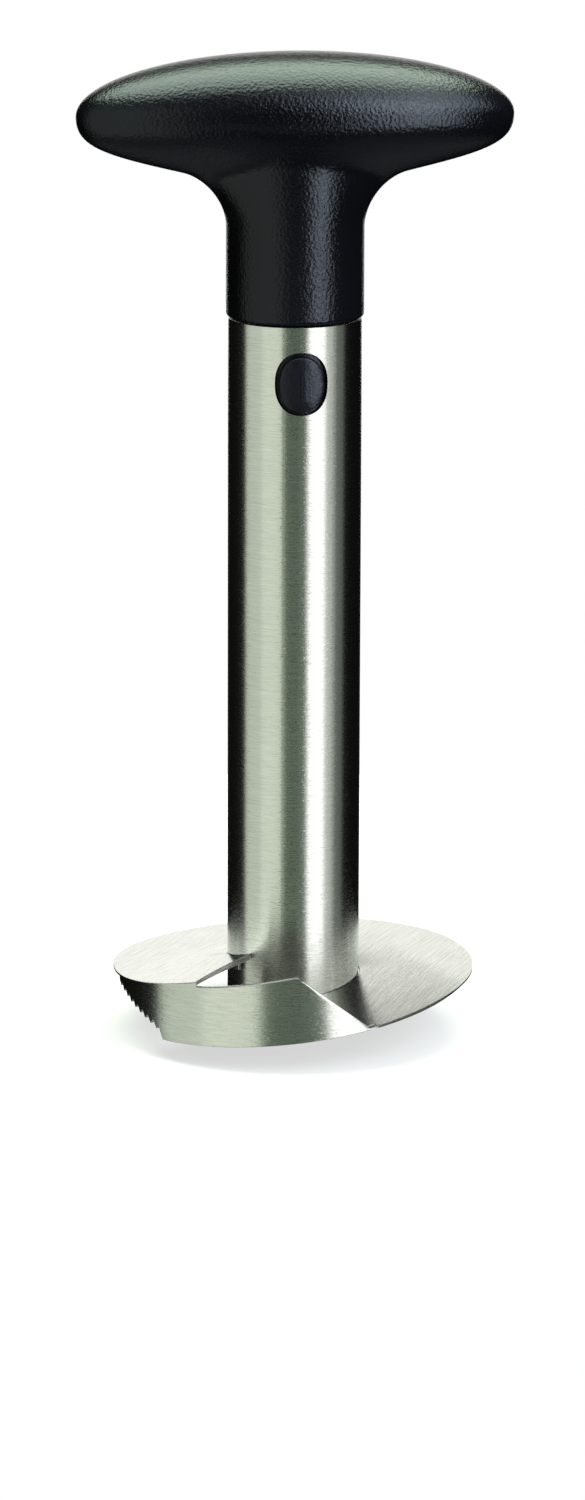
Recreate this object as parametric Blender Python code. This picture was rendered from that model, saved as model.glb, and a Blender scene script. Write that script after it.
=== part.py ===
"""Screw-in corer and slicer with a lift-off T-handle.

A steel core tube carries a slit, sprung-open slicing disc and an upright side
blade near its foot. A moulded T-handle in two shells traps the head of a forked
plug that stands in the tube's mouth. Two oval buttons, pushed apart by one coil
spring, look out through windows in the tube and sit between the plug's legs.

Metres, +Z up. The tube stands on its teeth at z = 0, the tube's axis is Z, the
bar of the handle lies along X and the front button faces -Y. Angles are in
degrees, counted from +X towards +Y.
"""

import math

import bmesh
import bpy
from mathutils import Vector

# Clearances and overruns shared by the pieces
SEAT_GAP = 0.0003
RUNNING_GAP = 0.00035
CUT_OVERRUN = 0.002
SHARP_ANGLE = 35.0

# Core tube
TUBE_RADIUS = 0.0160
TUBE_WALL = 0.0008
COLLAR_HEIGHT = 0.1757
TOOTH_COUNT = 24
TOOTH_HEIGHT = 0.0025
TOOTH_LAND = 0.0006

# Slicing disc and side blade, pressed from one gauge of sheet
SHEET = 0.0008
DISC_RADIUS = 0.0439
DISC_HEIGHT = 0.01525
DISC_WARP = 0.00095
DISC_WARP_ANGLE = 30.0
LEAD_ANGLE = 218.5
TRAIL_RIM_ANGLE = 592.2
TRAIL_HUB_ANGLE = 584.4
LEAD_FOLD_REACH = 0.0300
LEAD_FOLD_ANGLE = 21.5
LEAD_SPAN = 0.0700
LEAD_DROP = 0.0107
LEAD_EASE = 1.25
TRAIL_SPAN = 0.0300
TRAIL_RISE = 0.00475
TRAIL_EASE = 1.6
TRAIL_HUB_SHARE = 0.18
GROUND_WIDTH = 0.0025
GROUND_EDGE = 0.0002
FULL_LEAD_ANGLE = 355.0
LAST_LEAD_ANGLE = 445.0
FIRST_TRAIL_ANGLE = 485.0
FULL_TRAIL_ANGLE = 545.0
DISC_STEP_ANGLE = 5.0
DISC_ROWS = 5
TAB_ANGLES = (290.0, 360.0, 430.0, 500.0, 570.0)
TAB_WIDTH = 0.0024
TAB_DROP = 0.0030
TAB_SETBACK = 0.0001
BLADE_START_ANGLE = 191.0
BLADE_TOOTHED_END_ANGLE = 217.0
BLADE_PEAK_ANGLE = 265.4
BLADE_END_ANGLE = 289.0
BLADE_PEAK = 0.0088
BLADE_RISE_EASE = 1.2
BLADE_TOOTH_COUNT = 9
BLADE_TOOTH_DEPTH = 0.0007
BLADE_TOOTHED_DROP = 0.00765
BLADE_TIP = 0.0005
BLADE_STEP_ANGLE = 3.0
RIM_NOTCH_ANGLE = 2.2
NOTCH_SLOPE_ANGLE = 0.6

# Buttons and their windows
WINDOW_WIDTH = 0.0126
WINDOW_HEIGHT = 0.0151
WINDOW_DROP = 0.0138
BUTTON_SQUARENESS = 2.3
BUTTON_CROWN = 0.0013
BUTTON_EDGE = 0.0004
BUTTON_BEVEL_SHARE = 0.84
BUTTON_ROOF = 0.0003
BUTTON_END_EASE = 4
BUTTON_BEVEL_RINGS = 3
BUTTON_ROOF_RINGS = 3
FLANGE_RIM = 0.0014
FLANGE_THICKNESS = 0.0012
BUTTON_TRAVEL = 0.0025
SPRING_SEAT_RADIUS = 0.0042
SPRING_SEAT_RISE = 0.0015
POST_RADIUS = 0.0021
POST_CHAMFER = 0.0004
BUTTON_POINTS = 32

# Spring between the buttons
SPRING_WIRE = 0.0007
SPRING_RADIUS = 0.0030
SPRING_TURNS = 9
SPRING_TURN_POINTS = 10

# Forked plug
PLUG_CLEARANCE = 0.00025
PLUG_LENGTH = 0.0300
PLUG_LEAD_IN = 0.0030
PLUG_LEAD_IN_DEPTH = 0.0010
SLOT_CLEARANCE = 0.0005
SLOT_CORNER = 0.0020
NECK_RADIUS = 0.0090
LIP_THICKNESS = 0.0030
HEAD_SKIN = 0.0033
HEAD_FLAT = 0.0108
HEAD_THICKNESS = 0.0050
LEG_CORE_DEPTH = 0.0036
LEG_CORE_HALF_WIDTH = 0.0080
LEG_CORE_ROOF = 0.0050
PLUG_POINTS = 48
CORNER_STEPS = 3

# T-handle, with heights counted from its lower rim
STEM_STEP = 0.0005
STEM_CORNER = 0.0012
CROWN_HEIGHT = 0.01505
BAR_HALF_LENGTH = 0.0522
BAR_HALF_DEPTH = 0.0195
BELLY_DROP = 0.0120
TIP_HEIGHT = 0.0482
FLARE_WIDTH = 0.0128
FLARE_HEIGHT = 0.0132
FLARE_BASE = 0.0219
FLARE_SQUARENESS = 1.81
FLARE_SWEEP = 79.5
END_REACH_SHARE = 0.78
END_DROP = 0.0067
WING_ROOT_DEPTH = 0.0090
WING_SECTION_DEPTH = 0.0130
WING_EASE = 1.5
WING_BLEND = 5
GRIP_WALL = 0.0026
WEB_THICKNESS = 0.0024
PARTING_GAP = 0.0002
RIB_THICKNESS = 0.0016
RIB_PLACE_SHARES = (-0.65, -0.33, 0.33, 0.65)
BOSS_RADIUS = 0.0032
BOSS_PLACE_SHARES = ((-0.49, 0.74), (0.0, 0.44), (0.49, 0.74))
PIN_RADIUS = 0.0014
PIN_LENGTH = 0.0030
PIN_CLEARANCE = 0.0003
GRIP_POINTS = 22
CAVITY_POINTS = 14
ROD_POINTS = 16
FLARE_STEPS = 6
END_STEPS = 7
CROWN_STEPS = 9

# Sizes that follow from the ones above
TUBE_BORE = TUBE_RADIUS - TUBE_WALL
TUBE_TOP = COLLAR_HEIGHT - SEAT_GAP
HUB_RADIUS = TUBE_RADIUS + SEAT_GAP
BLADE_BORE = DISC_RADIUS - SHEET
LOW_RIM_RADIUS = BLADE_BORE - SEAT_GAP
WINDOW_CENTRE = COLLAR_HEIGHT - WINDOW_DROP
BUTTON_HALF_WIDTH = WINDOW_WIDTH / 2 - RUNNING_GAP
BUTTON_HALF_HEIGHT = WINDOW_HEIGHT / 2 - RUNNING_GAP
FLANGE_HALF_WIDTH = WINDOW_WIDTH / 2 + FLANGE_RIM
FLANGE_HALF_HEIGHT = WINDOW_HEIGHT / 2 + FLANGE_RIM
FLANGE_FRONT = TUBE_BORE - SEAT_GAP
FLANGE_BACK = FLANGE_FRONT - FLANGE_THICKNESS
SPRING_SEAT = FLANGE_BACK - SPRING_SEAT_RISE
PLUG_RADIUS = TUBE_BORE - PLUG_CLEARANCE
SLOT_HALF_WIDTH = FLANGE_HALF_WIDTH + SLOT_CLEARANCE
SLOT_TOP = FLANGE_HALF_HEIGHT + SLOT_CLEARANCE - WINDOW_DROP
HEAD_BASE = LIP_THICKNESS + SEAT_GAP
STEM_RADIUS = TUBE_RADIUS + STEM_STEP
HEAD_RADIUS = STEM_RADIUS - HEAD_SKIN
POCKET_TOP = HEAD_BASE + HEAD_THICKNESS + SEAT_GAP
CAVITY_FLOOR = POCKET_TOP + WEB_THICKNESS
GRIP_HEIGHT = TIP_HEIGHT + CROWN_HEIGHT


def clear_scene():
    for old in list(bpy.data.objects):
        bpy.data.objects.remove(old, do_unlink=True)


def make_material(name, colour, roughness, metallic):
    material = bpy.data.materials.new(name)
    material.use_nodes = True
    shader = material.node_tree.nodes["Principled BSDF"]
    shader.inputs["Base Color"].default_value = (*colour, 1.0)
    shader.inputs["Roughness"].default_value = roughness
    shader.inputs["Metallic"].default_value = metallic
    return material


def link_object(name, data, parent=None):
    item = bpy.data.objects.new(name, data)
    bpy.context.scene.collection.objects.link(item)
    item.parent = parent
    return item


def make_joint_empty(name, location):
    empty = link_object(name, None)
    empty.location = location
    return empty


def make_mesh(name, shape):
    """A mesh from a closed bmesh, with its faces turned outwards and round sides shaded smooth."""
    bmesh.ops.recalc_face_normals(shape, faces=shape.faces)
    mesh = bpy.data.meshes.new(name)
    shape.to_mesh(mesh)
    shape.free()
    mesh.shade_smooth()
    mesh.set_sharp_from_angle(angle=math.radians(SHARP_ANGLE))
    return mesh


def make_piece(name, shape, material, parent=None):
    mesh = make_mesh(name, shape)
    mesh.materials.append(material)
    return link_object(name, mesh, parent)


def make_tool(name, shape, parent=None):
    """A cutter, or a body to be joined on, that isn't a piece by itself."""
    tool = link_object(name, make_mesh(name, shape), parent)
    tool.hide_render = True
    tool.display_type = "WIRE"
    return tool


def add_boolean(piece, tool, operation):
    modifier = piece.modifiers.new(tool.name, "BOOLEAN")
    modifier.operation = operation
    modifier.solver = "EXACT"
    modifier.object = tool


def add_loft(shape, sections, ring=False):
    """Joins equal loops of points by quads. An open loft gets a flat face at each end."""
    loops = [[shape.verts.new(point) for point in section] for section in sections]
    pairs = list(zip(loops, loops[1:]))
    if ring:
        pairs.append((loops[-1], loops[0]))
    for first, second in pairs:
        for k in range(len(first)):
            after = (k + 1) % len(first)
            shape.faces.new((first[k], first[after], second[after], second[k]))
    if not ring:
        shape.faces.new(list(reversed(loops[0])))
        shape.faces.new(loops[-1])


def at_angle(radius, angle, height):
    turn = math.radians(angle)
    return Vector((radius * math.cos(turn), radius * math.sin(turn), height))


def circle(radius, height, count, flat=None):
    """A level ring of points round Z. With flat, it is cut by two flats that face along Y."""
    points = [at_angle(radius, 360 * k / count, height) for k in range(count)]
    if flat is not None:
        for point in points:
            point.y = max(-flat, min(flat, point.y))
    return points


def oval(half_width, half_height, squareness, turn):
    """The point of a superellipse at an angle in radians."""
    power = 2 / squareness
    across = math.copysign(abs(math.cos(turn)) ** power, math.cos(turn))
    along = math.copysign(abs(math.sin(turn)) ** power, math.sin(turn))
    return half_width * across, half_height * along


def blend(share):
    """Eases from 0 to 1 with level ends."""
    share = max(0.0, min(1.0, share))
    return share * share * (3 - 2 * share)


# Core tube


def window_cutter():
    """An oval prism across the whole tube, for the front and the rear window."""
    shape = bmesh.new()
    reach = TUBE_RADIUS + CUT_OVERRUN
    sections = []
    for side in (-reach, reach):
        turns = [2 * math.pi * k / BUTTON_POINTS for k in range(BUTTON_POINTS)]
        outline = [oval(WINDOW_WIDTH / 2, WINDOW_HEIGHT / 2, BUTTON_SQUARENESS, turn) for turn in turns]
        sections.append([Vector((x, side, WINDOW_CENTRE + z)) for x, z in outline])
    add_loft(shape, sections)
    return make_tool("window_cutter", shape)


def make_core_tube(material):
    shape = bmesh.new()
    pitch = 360 / TOOTH_COUNT
    half_land = math.degrees(TOOTH_LAND / TUBE_RADIUS / 2)
    sections = []
    for tooth in range(TOOTH_COUNT):
        for offset, foot in ((-half_land, 0.0), (half_land, 0.0), (pitch / 2, TOOTH_HEIGHT)):
            angle = tooth * pitch + offset
            corners = ((TUBE_RADIUS, foot), (TUBE_RADIUS, TUBE_TOP), (TUBE_BORE, TUBE_TOP), (TUBE_BORE, foot))
            sections.append([at_angle(radius, angle, height) for radius, height in corners])
    add_loft(shape, sections, ring=True)
    tube = make_piece("core_tube", shape, material)
    add_boolean(tube, window_cutter(), "DIFFERENCE")
    return tube


# Slicing disc


def disc_height(angle, radius):
    """Height of the middle of the sheet.

    The slit disc has a slight saddle warp, and both its ends are bent along straight folds.
    """
    fold = math.radians(angle - LEAD_FOLD_ANGLE)
    past_fold = LEAD_FOLD_REACH - radius * math.cos(fold)
    lead = blend((LAST_LEAD_ANGLE - angle) / (LAST_LEAD_ANGLE - FULL_LEAD_ANGLE))
    drop = LEAD_DROP * min(1.0, max(0.0, past_fold / LEAD_SPAN)) ** LEAD_EASE
    trail = blend((angle - FIRST_TRAIL_ANGLE) / (FULL_TRAIL_ANGLE - FIRST_TRAIL_ANGLE))
    from_edge = trail_edge_distance(angle, radius)
    rise = TRAIL_RISE * min(1.0, max(0.0, 1 - from_edge / TRAIL_SPAN)) ** TRAIL_EASE
    rise *= 1 + TRAIL_HUB_SHARE * (DISC_RADIUS - radius) / (DISC_RADIUS - HUB_RADIUS)
    warp = DISC_WARP * (radius / DISC_RADIUS) ** 2 * math.cos(2 * math.radians(angle - DISC_WARP_ANGLE))
    return DISC_HEIGHT + warp - drop * lead + rise * trail


def trail_edge_distance(angle, radius):
    """Distance of a point from the straight trailing edge, square to it."""
    hub = at_angle(HUB_RADIUS, TRAIL_HUB_ANGLE, 0.0)
    rim = at_angle(DISC_RADIUS, TRAIL_RIM_ANGLE, 0.0)
    along = (rim - hub).normalized()
    return abs(along.cross(at_angle(radius, angle, 0.0) - hub).z)


def sheet_thickness(angle, radius):
    """The leading edge is ground thin over a band of even width."""
    from_edge = math.radians(angle - LEAD_ANGLE) * radius
    return GROUND_EDGE + (SHEET - GROUND_EDGE) * min(1.0, from_edge / GROUND_WIDTH)


def disc_stations():
    """(angle, radius) at the rim of each section, closer along the ground edge.

    The low end of the disc stands inside the side blade, and past a notch the rim steps out.
    """
    ground = math.degrees(GROUND_WIDTH / DISC_RADIUS)
    hub_ground = math.degrees(GROUND_WIDTH / HUB_RADIUS)
    notch = BLADE_END_ANGLE + RIM_NOTCH_ANGLE
    stations = [(LEAD_ANGLE + step, LOW_RIM_RADIUS) for step in (0.0, ground, (ground + hub_ground) / 2)]
    spans = (
        (LEAD_ANGLE + hub_ground, notch, LOW_RIM_RADIUS),
        (notch + NOTCH_SLOPE_ANGLE, TRAIL_RIM_ANGLE, DISC_RADIUS),
    )
    for start, end, radius in spans:
        steps = math.ceil((end - start) / DISC_STEP_ANGLE)
        stations += [(start + (end - start) * k / steps, radius) for k in range(steps + 1)]
    return stations


def disc_section(rim_angle, rim_radius):
    """A closed loop round the sheet from hub to rim. Sections lean over towards the trailing edge."""
    progress = (rim_angle - LEAD_ANGLE) / (TRAIL_RIM_ANGLE - LEAD_ANGLE)
    top = []
    bottom = []
    for row in range(DISC_ROWS):
        share = row / (DISC_ROWS - 1)
        last = TRAIL_HUB_ANGLE + (TRAIL_RIM_ANGLE - TRAIL_HUB_ANGLE) * share
        angle = LEAD_ANGLE + progress * (last - LEAD_ANGLE)
        radius = HUB_RADIUS + (rim_radius - HUB_RADIUS) * share
        middle = disc_height(angle, radius)
        half = sheet_thickness(angle, radius) / 2
        top.append(at_angle(radius, angle, middle + half))
        bottom.append(at_angle(radius, angle, middle - half))
    return top + bottom[::-1]


def tab_tool(angle):
    """A tongue at the hub, bent down along the tube, by which the disc is spot-welded to it."""
    shape = bmesh.new()
    inner = HUB_RADIUS + TAB_SETBACK
    outer = inner + SHEET
    half = math.degrees(TAB_WIDTH / inner / 2)
    middle = disc_height(angle, inner)
    foot = middle - TAB_DROP
    sections = []
    for turn in (angle - half, angle, angle + half):
        corners = ((outer, middle), (inner, middle), (inner, foot), (outer, foot))
        sections.append([at_angle(radius, turn, height) for radius, height in corners])
    add_loft(shape, sections)
    return make_tool(f"hub_tab_{angle:.0f}", shape)


def make_slicing_disc(material):
    shape = bmesh.new()
    add_loft(shape, [disc_section(angle, radius) for angle, radius in disc_stations()])
    disc = make_piece("slicing_disc", shape, material)
    for angle in TAB_ANGLES:
        add_boolean(disc, tab_tool(angle), "UNION")
    return disc


# Side blade


def blade_top(angle):
    """Follows the upper end of the disc from below, runs on up to the peak, and falls straight to the end."""
    seat = disc_height(angle + 360, DISC_RADIUS) - SHEET / 2 - SEAT_GAP
    edge = disc_height(TRAIL_RIM_ANGLE, DISC_RADIUS) - SHEET / 2 - SEAT_GAP
    trail = TRAIL_RIM_ANGLE - 360
    peak = DISC_HEIGHT + BLADE_PEAK
    if angle <= trail:
        return seat
    if angle <= BLADE_PEAK_ANGLE:
        return edge + (peak - edge) * ((angle - trail) / (BLADE_PEAK_ANGLE - trail)) ** BLADE_RISE_EASE
    foot = blade_foot(BLADE_END_ANGLE) + BLADE_TIP
    return peak + (foot - peak) * (angle - BLADE_PEAK_ANGLE) / (BLADE_END_ANGLE - BLADE_PEAK_ANGLE)


def blade_foot(angle):
    """Level with the underside of the disc's low end at the rim."""
    return disc_height(angle, LOW_RIM_RADIUS) - SHEET / 2


def blade_sections():
    """(angle, foot, top) along the side blade: the toothed slope, then the long band."""
    start = blade_top(BLADE_START_ANGLE) - BLADE_TIP
    end = DISC_HEIGHT - BLADE_TOOTHED_DROP
    half_teeth = 2 * BLADE_TOOTH_COUNT
    sections = []
    for k in range(half_teeth + 1):
        share = k / half_teeth
        angle = BLADE_START_ANGLE + (BLADE_TOOTHED_END_ANGLE - BLADE_START_ANGLE) * share
        foot = start + (end - start) * share
        if k % 2:
            foot -= BLADE_TOOTH_DEPTH
        elif 0 < k < half_teeth:
            foot += BLADE_TOOTH_DEPTH
        sections.append((angle, foot, blade_top(angle)))
    corners = (LEAD_ANGLE, TRAIL_RIM_ANGLE - 360, BLADE_PEAK_ANGLE, BLADE_END_ANGLE)
    for first, last in zip(corners, corners[1:]):
        steps = math.ceil((last - first) / BLADE_STEP_ANGLE)
        for k in range(steps):
            angle = first + (last - first) * k / steps
            sections.append((angle, blade_foot(angle), blade_top(angle)))
    sections.append((BLADE_END_ANGLE, blade_foot(BLADE_END_ANGLE), blade_top(BLADE_END_ANGLE)))
    return sections


def make_side_blade(material):
    shape = bmesh.new()
    sections = []
    for angle, foot, top in blade_sections():
        corners = ((DISC_RADIUS, foot), (DISC_RADIUS, top), (BLADE_BORE, top), (BLADE_BORE, foot))
        sections.append([at_angle(radius, angle, height) for radius, height in corners])
    add_loft(shape, sections)
    return make_piece("side_blade", shape, material)


# Buttons and spring, in a frame on the tube's axis at the height of the windows


def wrapped_ring(half_width, half_height, radius, squareness=2.0):
    """An oval laid on a cylinder round the tube's axis, on the side that faces -Y."""
    ring = []
    for k in range(BUTTON_POINTS):
        x, z = oval(half_width, half_height, squareness, 2 * math.pi * k / BUTTON_POINTS)
        ring.append(Vector((x, -math.sqrt(radius * radius - x * x), z)))
    return ring


def flat_ring(radius, depth):
    turns = [2 * math.pi * k / BUTTON_POINTS for k in range(BUTTON_POINTS)]
    return [Vector((radius * math.cos(turn), -depth, radius * math.sin(turn))) for turn in turns]


def button_ring(share, radius):
    return wrapped_ring(BUTTON_HALF_WIDTH * share, BUTTON_HALF_HEIGHT * share, radius, BUTTON_SQUARENESS)


def face_rings():
    """The button's face: a rounded bevel all round, then two shallow slopes that meet in an upright ridge."""
    rings = []
    edge = TUBE_RADIUS + BUTTON_EDGE
    shoulder = TUBE_RADIUS + BUTTON_CROWN - BUTTON_ROOF
    for k in range(BUTTON_BEVEL_RINGS + 1):
        turn = math.pi / 2 * k / BUTTON_BEVEL_RINGS
        share = BUTTON_BEVEL_SHARE + (1 - BUTTON_BEVEL_SHARE) * math.cos(turn)
        rings.append(button_ring(share, edge + (shoulder - edge) * math.sin(turn)))
    for k in range(1, BUTTON_ROOF_RINGS):
        share = BUTTON_BEVEL_SHARE * (1 - k / BUTTON_ROOF_RINGS)
        ring = button_ring(share, shoulder)
        for point in ring:
            side = abs(point.x) / (BUTTON_HALF_WIDTH * BUTTON_BEVEL_SHARE)
            end = abs(point.z) / (BUTTON_HALF_HEIGHT * BUTTON_BEVEL_SHARE)
            point.y -= BUTTON_ROOF * (1 - max(side, end ** BUTTON_END_EASE))
        rings.append(ring)
    return rings


def button_mesh(material):
    """From the spring post outwards: post, seat, flange behind the wall, oval body and bevelled face.

    The posts guide the spring, and meet halfway when both buttons are fully pressed.
    """
    post_end = BUTTON_TRAVEL + SEAT_GAP
    rings = [
        flat_ring(POST_RADIUS - POST_CHAMFER, post_end),
        flat_ring(POST_RADIUS, post_end + POST_CHAMFER),
        flat_ring(POST_RADIUS, SPRING_SEAT),
        flat_ring(SPRING_SEAT_RADIUS, SPRING_SEAT),
        wrapped_ring(SPRING_SEAT_RADIUS, SPRING_SEAT_RADIUS, FLANGE_BACK),
        wrapped_ring(FLANGE_HALF_WIDTH, FLANGE_HALF_HEIGHT, FLANGE_BACK, BUTTON_SQUARENESS),
        wrapped_ring(FLANGE_HALF_WIDTH, FLANGE_HALF_HEIGHT, FLANGE_FRONT, BUTTON_SQUARENESS),
        button_ring(1, FLANGE_FRONT),
    ]
    shape = bmesh.new()
    add_loft(shape, rings + face_rings())
    mesh = make_mesh("button", shape)
    mesh.materials.append(material)
    return mesh


def make_buttons(material):
    mesh = button_mesh(material)
    for name, turn in (("front_button", 0.0), ("rear_button", math.pi)):
        axis = make_joint_empty(name + "_slide", (0.0, 0.0, WINDOW_CENTRE))
        button = link_object(name, mesh, axis)
        button.rotation_euler.z = turn


def spring_points():
    """Points along the coil, which runs from one button's seat to the other's."""
    end = SPRING_SEAT - SEAT_GAP - SPRING_WIRE / 2
    count = SPRING_TURNS * SPRING_TURN_POINTS
    points = []
    for k in range(count + 1):
        turn = 2 * math.pi * k / SPRING_TURN_POINTS
        along = -end + 2 * end * k / count
        points.append(Vector((SPRING_RADIUS * math.cos(turn), along, SPRING_RADIUS * math.sin(turn))))
    return points


def least_self_gap(points):
    """The smallest free space between turns of the coil, over points at least half a turn apart."""
    apart = SPRING_TURN_POINTS // 2
    least = min((points[j] - points[i]).length
                for i in range(len(points)) for j in range(i + apart, len(points)))
    return least - SPRING_WIRE


def make_spring(material):
    points = spring_points()
    curve = bpy.data.curves.new("button_spring", "CURVE")
    curve.dimensions = "3D"
    curve.bevel_depth = SPRING_WIRE / 2
    curve.bevel_resolution = 1
    curve.use_fill_caps = True
    curve.materials.append(material)
    spline = curve.splines.new("POLY")
    spline.points.add(len(points) - 1)
    for place, point in zip(spline.points, points):
        place.co = (*point, 1.0)
    spring = link_object("button_spring", curve)
    spring.location.z = WINDOW_CENTRE
    print(f"button_spring: least gap between turns {1000 * least_self_gap(points):.2f} mm")
    return spring


# Forked plug, in the handle's frame: z = 0 at the handle's lower rim


def slot_cutter(parent):
    """The gap between the plug's legs, open below, with rounded upper corners."""
    low = -PLUG_LENGTH - CUT_OVERRUN
    outline = [(SLOT_HALF_WIDTH, low)]
    for k in range(CORNER_STEPS + 1):
        turn = math.pi / 2 * k / CORNER_STEPS
        across = SLOT_HALF_WIDTH - SLOT_CORNER * (1 - math.cos(turn))
        outline.append((across, SLOT_TOP - SLOT_CORNER * (1 - math.sin(turn))))
    outline += [(-x, z) for x, z in reversed(outline)]
    reach = PLUG_RADIUS + CUT_OVERRUN
    shape = bmesh.new()
    add_loft(shape, [[Vector((x, side, z)) for x, z in outline] for side in (-reach, reach)])
    return make_tool("slot_cutter", shape, parent)


def leg_core_cutter(parent, side):
    """Hollows a leg from the slot, so that its walls are of even thickness."""
    near = SLOT_HALF_WIDTH - CUT_OVERRUN
    far = SLOT_HALF_WIDTH + LEG_CORE_DEPTH
    half = LEG_CORE_HALF_WIDTH
    corners = [(near, -half), (far, -half), (far, half), (near, half)]
    shape = bmesh.new()
    low = -PLUG_LENGTH - CUT_OVERRUN
    high = SLOT_TOP - LEG_CORE_ROOF
    add_loft(shape, [[Vector((side * x, y, z)) for x, y in corners] for z in (low, high)])
    return make_tool("leg_core_cutter", shape, parent)


def make_plug(material, parent):
    shoulder = -SEAT_GAP
    shape = bmesh.new()
    add_loft(shape, [
        circle(PLUG_RADIUS - PLUG_LEAD_IN_DEPTH, -PLUG_LENGTH, PLUG_POINTS),
        circle(PLUG_RADIUS, PLUG_LEAD_IN - PLUG_LENGTH, PLUG_POINTS),
        circle(PLUG_RADIUS, shoulder, PLUG_POINTS),
        circle(NECK_RADIUS, shoulder, PLUG_POINTS),
        circle(NECK_RADIUS, HEAD_BASE, PLUG_POINTS),
        circle(HEAD_RADIUS, HEAD_BASE, PLUG_POINTS, HEAD_FLAT),
        circle(HEAD_RADIUS, HEAD_BASE + HEAD_THICKNESS, PLUG_POINTS, HEAD_FLAT),
    ])
    plug = make_piece("locking_plug", shape, material, parent)
    add_boolean(plug, slot_cutter(parent), "DIFFERENCE")
    for side in (-1, 1):
        add_boolean(plug, leg_core_cutter(parent, side), "DIFFERENCE")
    return plug


# Handle shells, in the same frame


def end_curve_point(start, share, inset):
    """A point on the curve that leaves the flare along its tangent and goes round to the bar's tip."""
    sweep = math.radians(FLARE_SWEEP)
    slope = FLARE_HEIGHT / FLARE_WIDTH * math.tan(sweep) ** (2 / FLARE_SQUARENESS - 2)
    tip = Vector((BAR_HALF_LENGTH - inset, TIP_HEIGHT))
    reach = END_REACH_SHARE * (tip.x - start.x)
    toward = start + Vector((reach, reach * slope))
    below = tip - Vector((0.0, END_DROP))
    rest = 1 - share
    near = rest ** 3 * start + 3 * rest ** 2 * share * toward
    return near + 3 * rest * share ** 2 * below + share ** 3 * tip


def underside_profile(inset, coarse):
    """(half length, height) from the foot of the flare to the tip of the bar."""
    centre = STEM_RADIUS + FLARE_WIDTH
    points = []
    steps = FLARE_STEPS // coarse
    for k in range(steps + 1):
        turn = math.radians(FLARE_SWEEP * k / steps)
        across, up = oval(FLARE_WIDTH + inset, FLARE_HEIGHT + inset, FLARE_SQUARENESS, turn)
        points.append(Vector((centre - across, FLARE_BASE + up)))
    start = points[-1]
    steps = END_STEPS // coarse
    points += [end_curve_point(start, k / steps, inset) for k in range(1, steps + 1)]
    return points


def power_sum(first, second, sign=1):
    """A smooth greater of two sizes, or with sign -1 the size that this leaves beside the second."""
    return max(0.0, first ** WING_BLEND + sign * second ** WING_BLEND) ** (1 / WING_BLEND)


def belly_depth(height):
    """Half depth over the stem. Just below the tips the bar's front turns back into the stem's."""
    below = min(1.0, max(0.0, (TIP_HEIGHT - height) / BELLY_DROP))
    return STEM_RADIUS + (BAR_HALF_DEPTH - STEM_RADIUS) * blend(1 - below)


def wing_depth(height):
    """Half depth of the bar's wings. Below its tips they turn under, as the bar's round section does."""
    below = min(1.0, max(0.0, (TIP_HEIGHT - height) / WING_SECTION_DEPTH))
    return WING_ROOT_DEPTH + (BAR_HALF_DEPTH - WING_ROOT_DEPTH) * (1 - below * below) ** WING_EASE


def winged_ring(half_length, half_depth, wing, height, count):
    """A level ring round the stem and both wings, which run into each other smoothly."""
    stem = power_sum(half_depth, wing, -1)
    reach = power_sum(half_length, stem, -1)
    ring = []
    for k in range(count):
        turn = 2 * math.pi * k / count
        way = Vector((half_length * math.cos(turn), half_depth * math.sin(turn))).normalized()
        radius = power_sum(1 / math.hypot(way.x / reach, way.y / wing), stem)
        ring.append(Vector((*(radius * way), height)))
    return ring


def grip_rings(inset, coarse, count):
    """Level rings up the handle, moved in by inset from its outer surface."""
    rings = []
    for half_length, height in underside_profile(inset, coarse):
        half_depth = belly_depth(height) - inset
        rings.append(winged_ring(half_length, half_depth, wing_depth(height) - inset, height, count))
    steps = CROWN_STEPS // coarse
    for k in range(1, steps):
        turn = math.pi / 2 * k / steps
        half_length = (BAR_HALF_LENGTH - inset) * math.cos(turn)
        half_depth = (BAR_HALF_DEPTH - inset) * math.cos(turn)
        height = TIP_HEIGHT + (CROWN_HEIGHT - inset) * math.sin(turn)
        rings.append(winged_ring(half_length, half_depth, half_depth, height, count))
    return rings


def stem_rings(count):
    """The rounded lower corner of the stem."""
    rings = []
    for k in range(CORNER_STEPS + 1):
        turn = math.pi / 2 * k / CORNER_STEPS
        radius = STEM_RADIUS - STEM_CORNER * (1 - math.sin(turn))
        rings.append(circle(radius, STEM_CORNER * (1 - math.cos(turn)), count))
    return rings


def half_shell_solid(side):
    """The outer form of one shell, filled, from the parting plane to its own side of the handle."""
    count = 2 * GRIP_POINTS
    shape = bmesh.new()
    rows = []
    for ring in stem_rings(count) + grip_rings(0.0, 1, count):
        half = ring[GRIP_POINTS:] + ring[:1]
        row = []
        for point in half:
            depth = max(-point.y, PARTING_GAP / 2)
            row.append(shape.verts.new((point.x, side * depth, point.z)))
        rows.append(row)
    apex = shape.verts.new((0.0, side * PARTING_GAP / 2, GRIP_HEIGHT))
    for low, high in zip(rows, rows[1:]):
        for k in range(GRIP_POINTS):
            shape.faces.new((low[k], low[k + 1], high[k + 1], high[k]))
    for k in range(GRIP_POINTS):
        shape.faces.new((rows[-1][k], rows[-1][k + 1], apex))
    shape.faces.new(rows[0])
    shape.faces.new([row[0] for row in rows] + [apex] + [row[-1] for row in reversed(rows)])
    return shape


def boss_places():
    return [(across * BAR_HALF_LENGTH, up * GRIP_HEIGHT) for across, up in BOSS_PLACE_SHARES]


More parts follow.
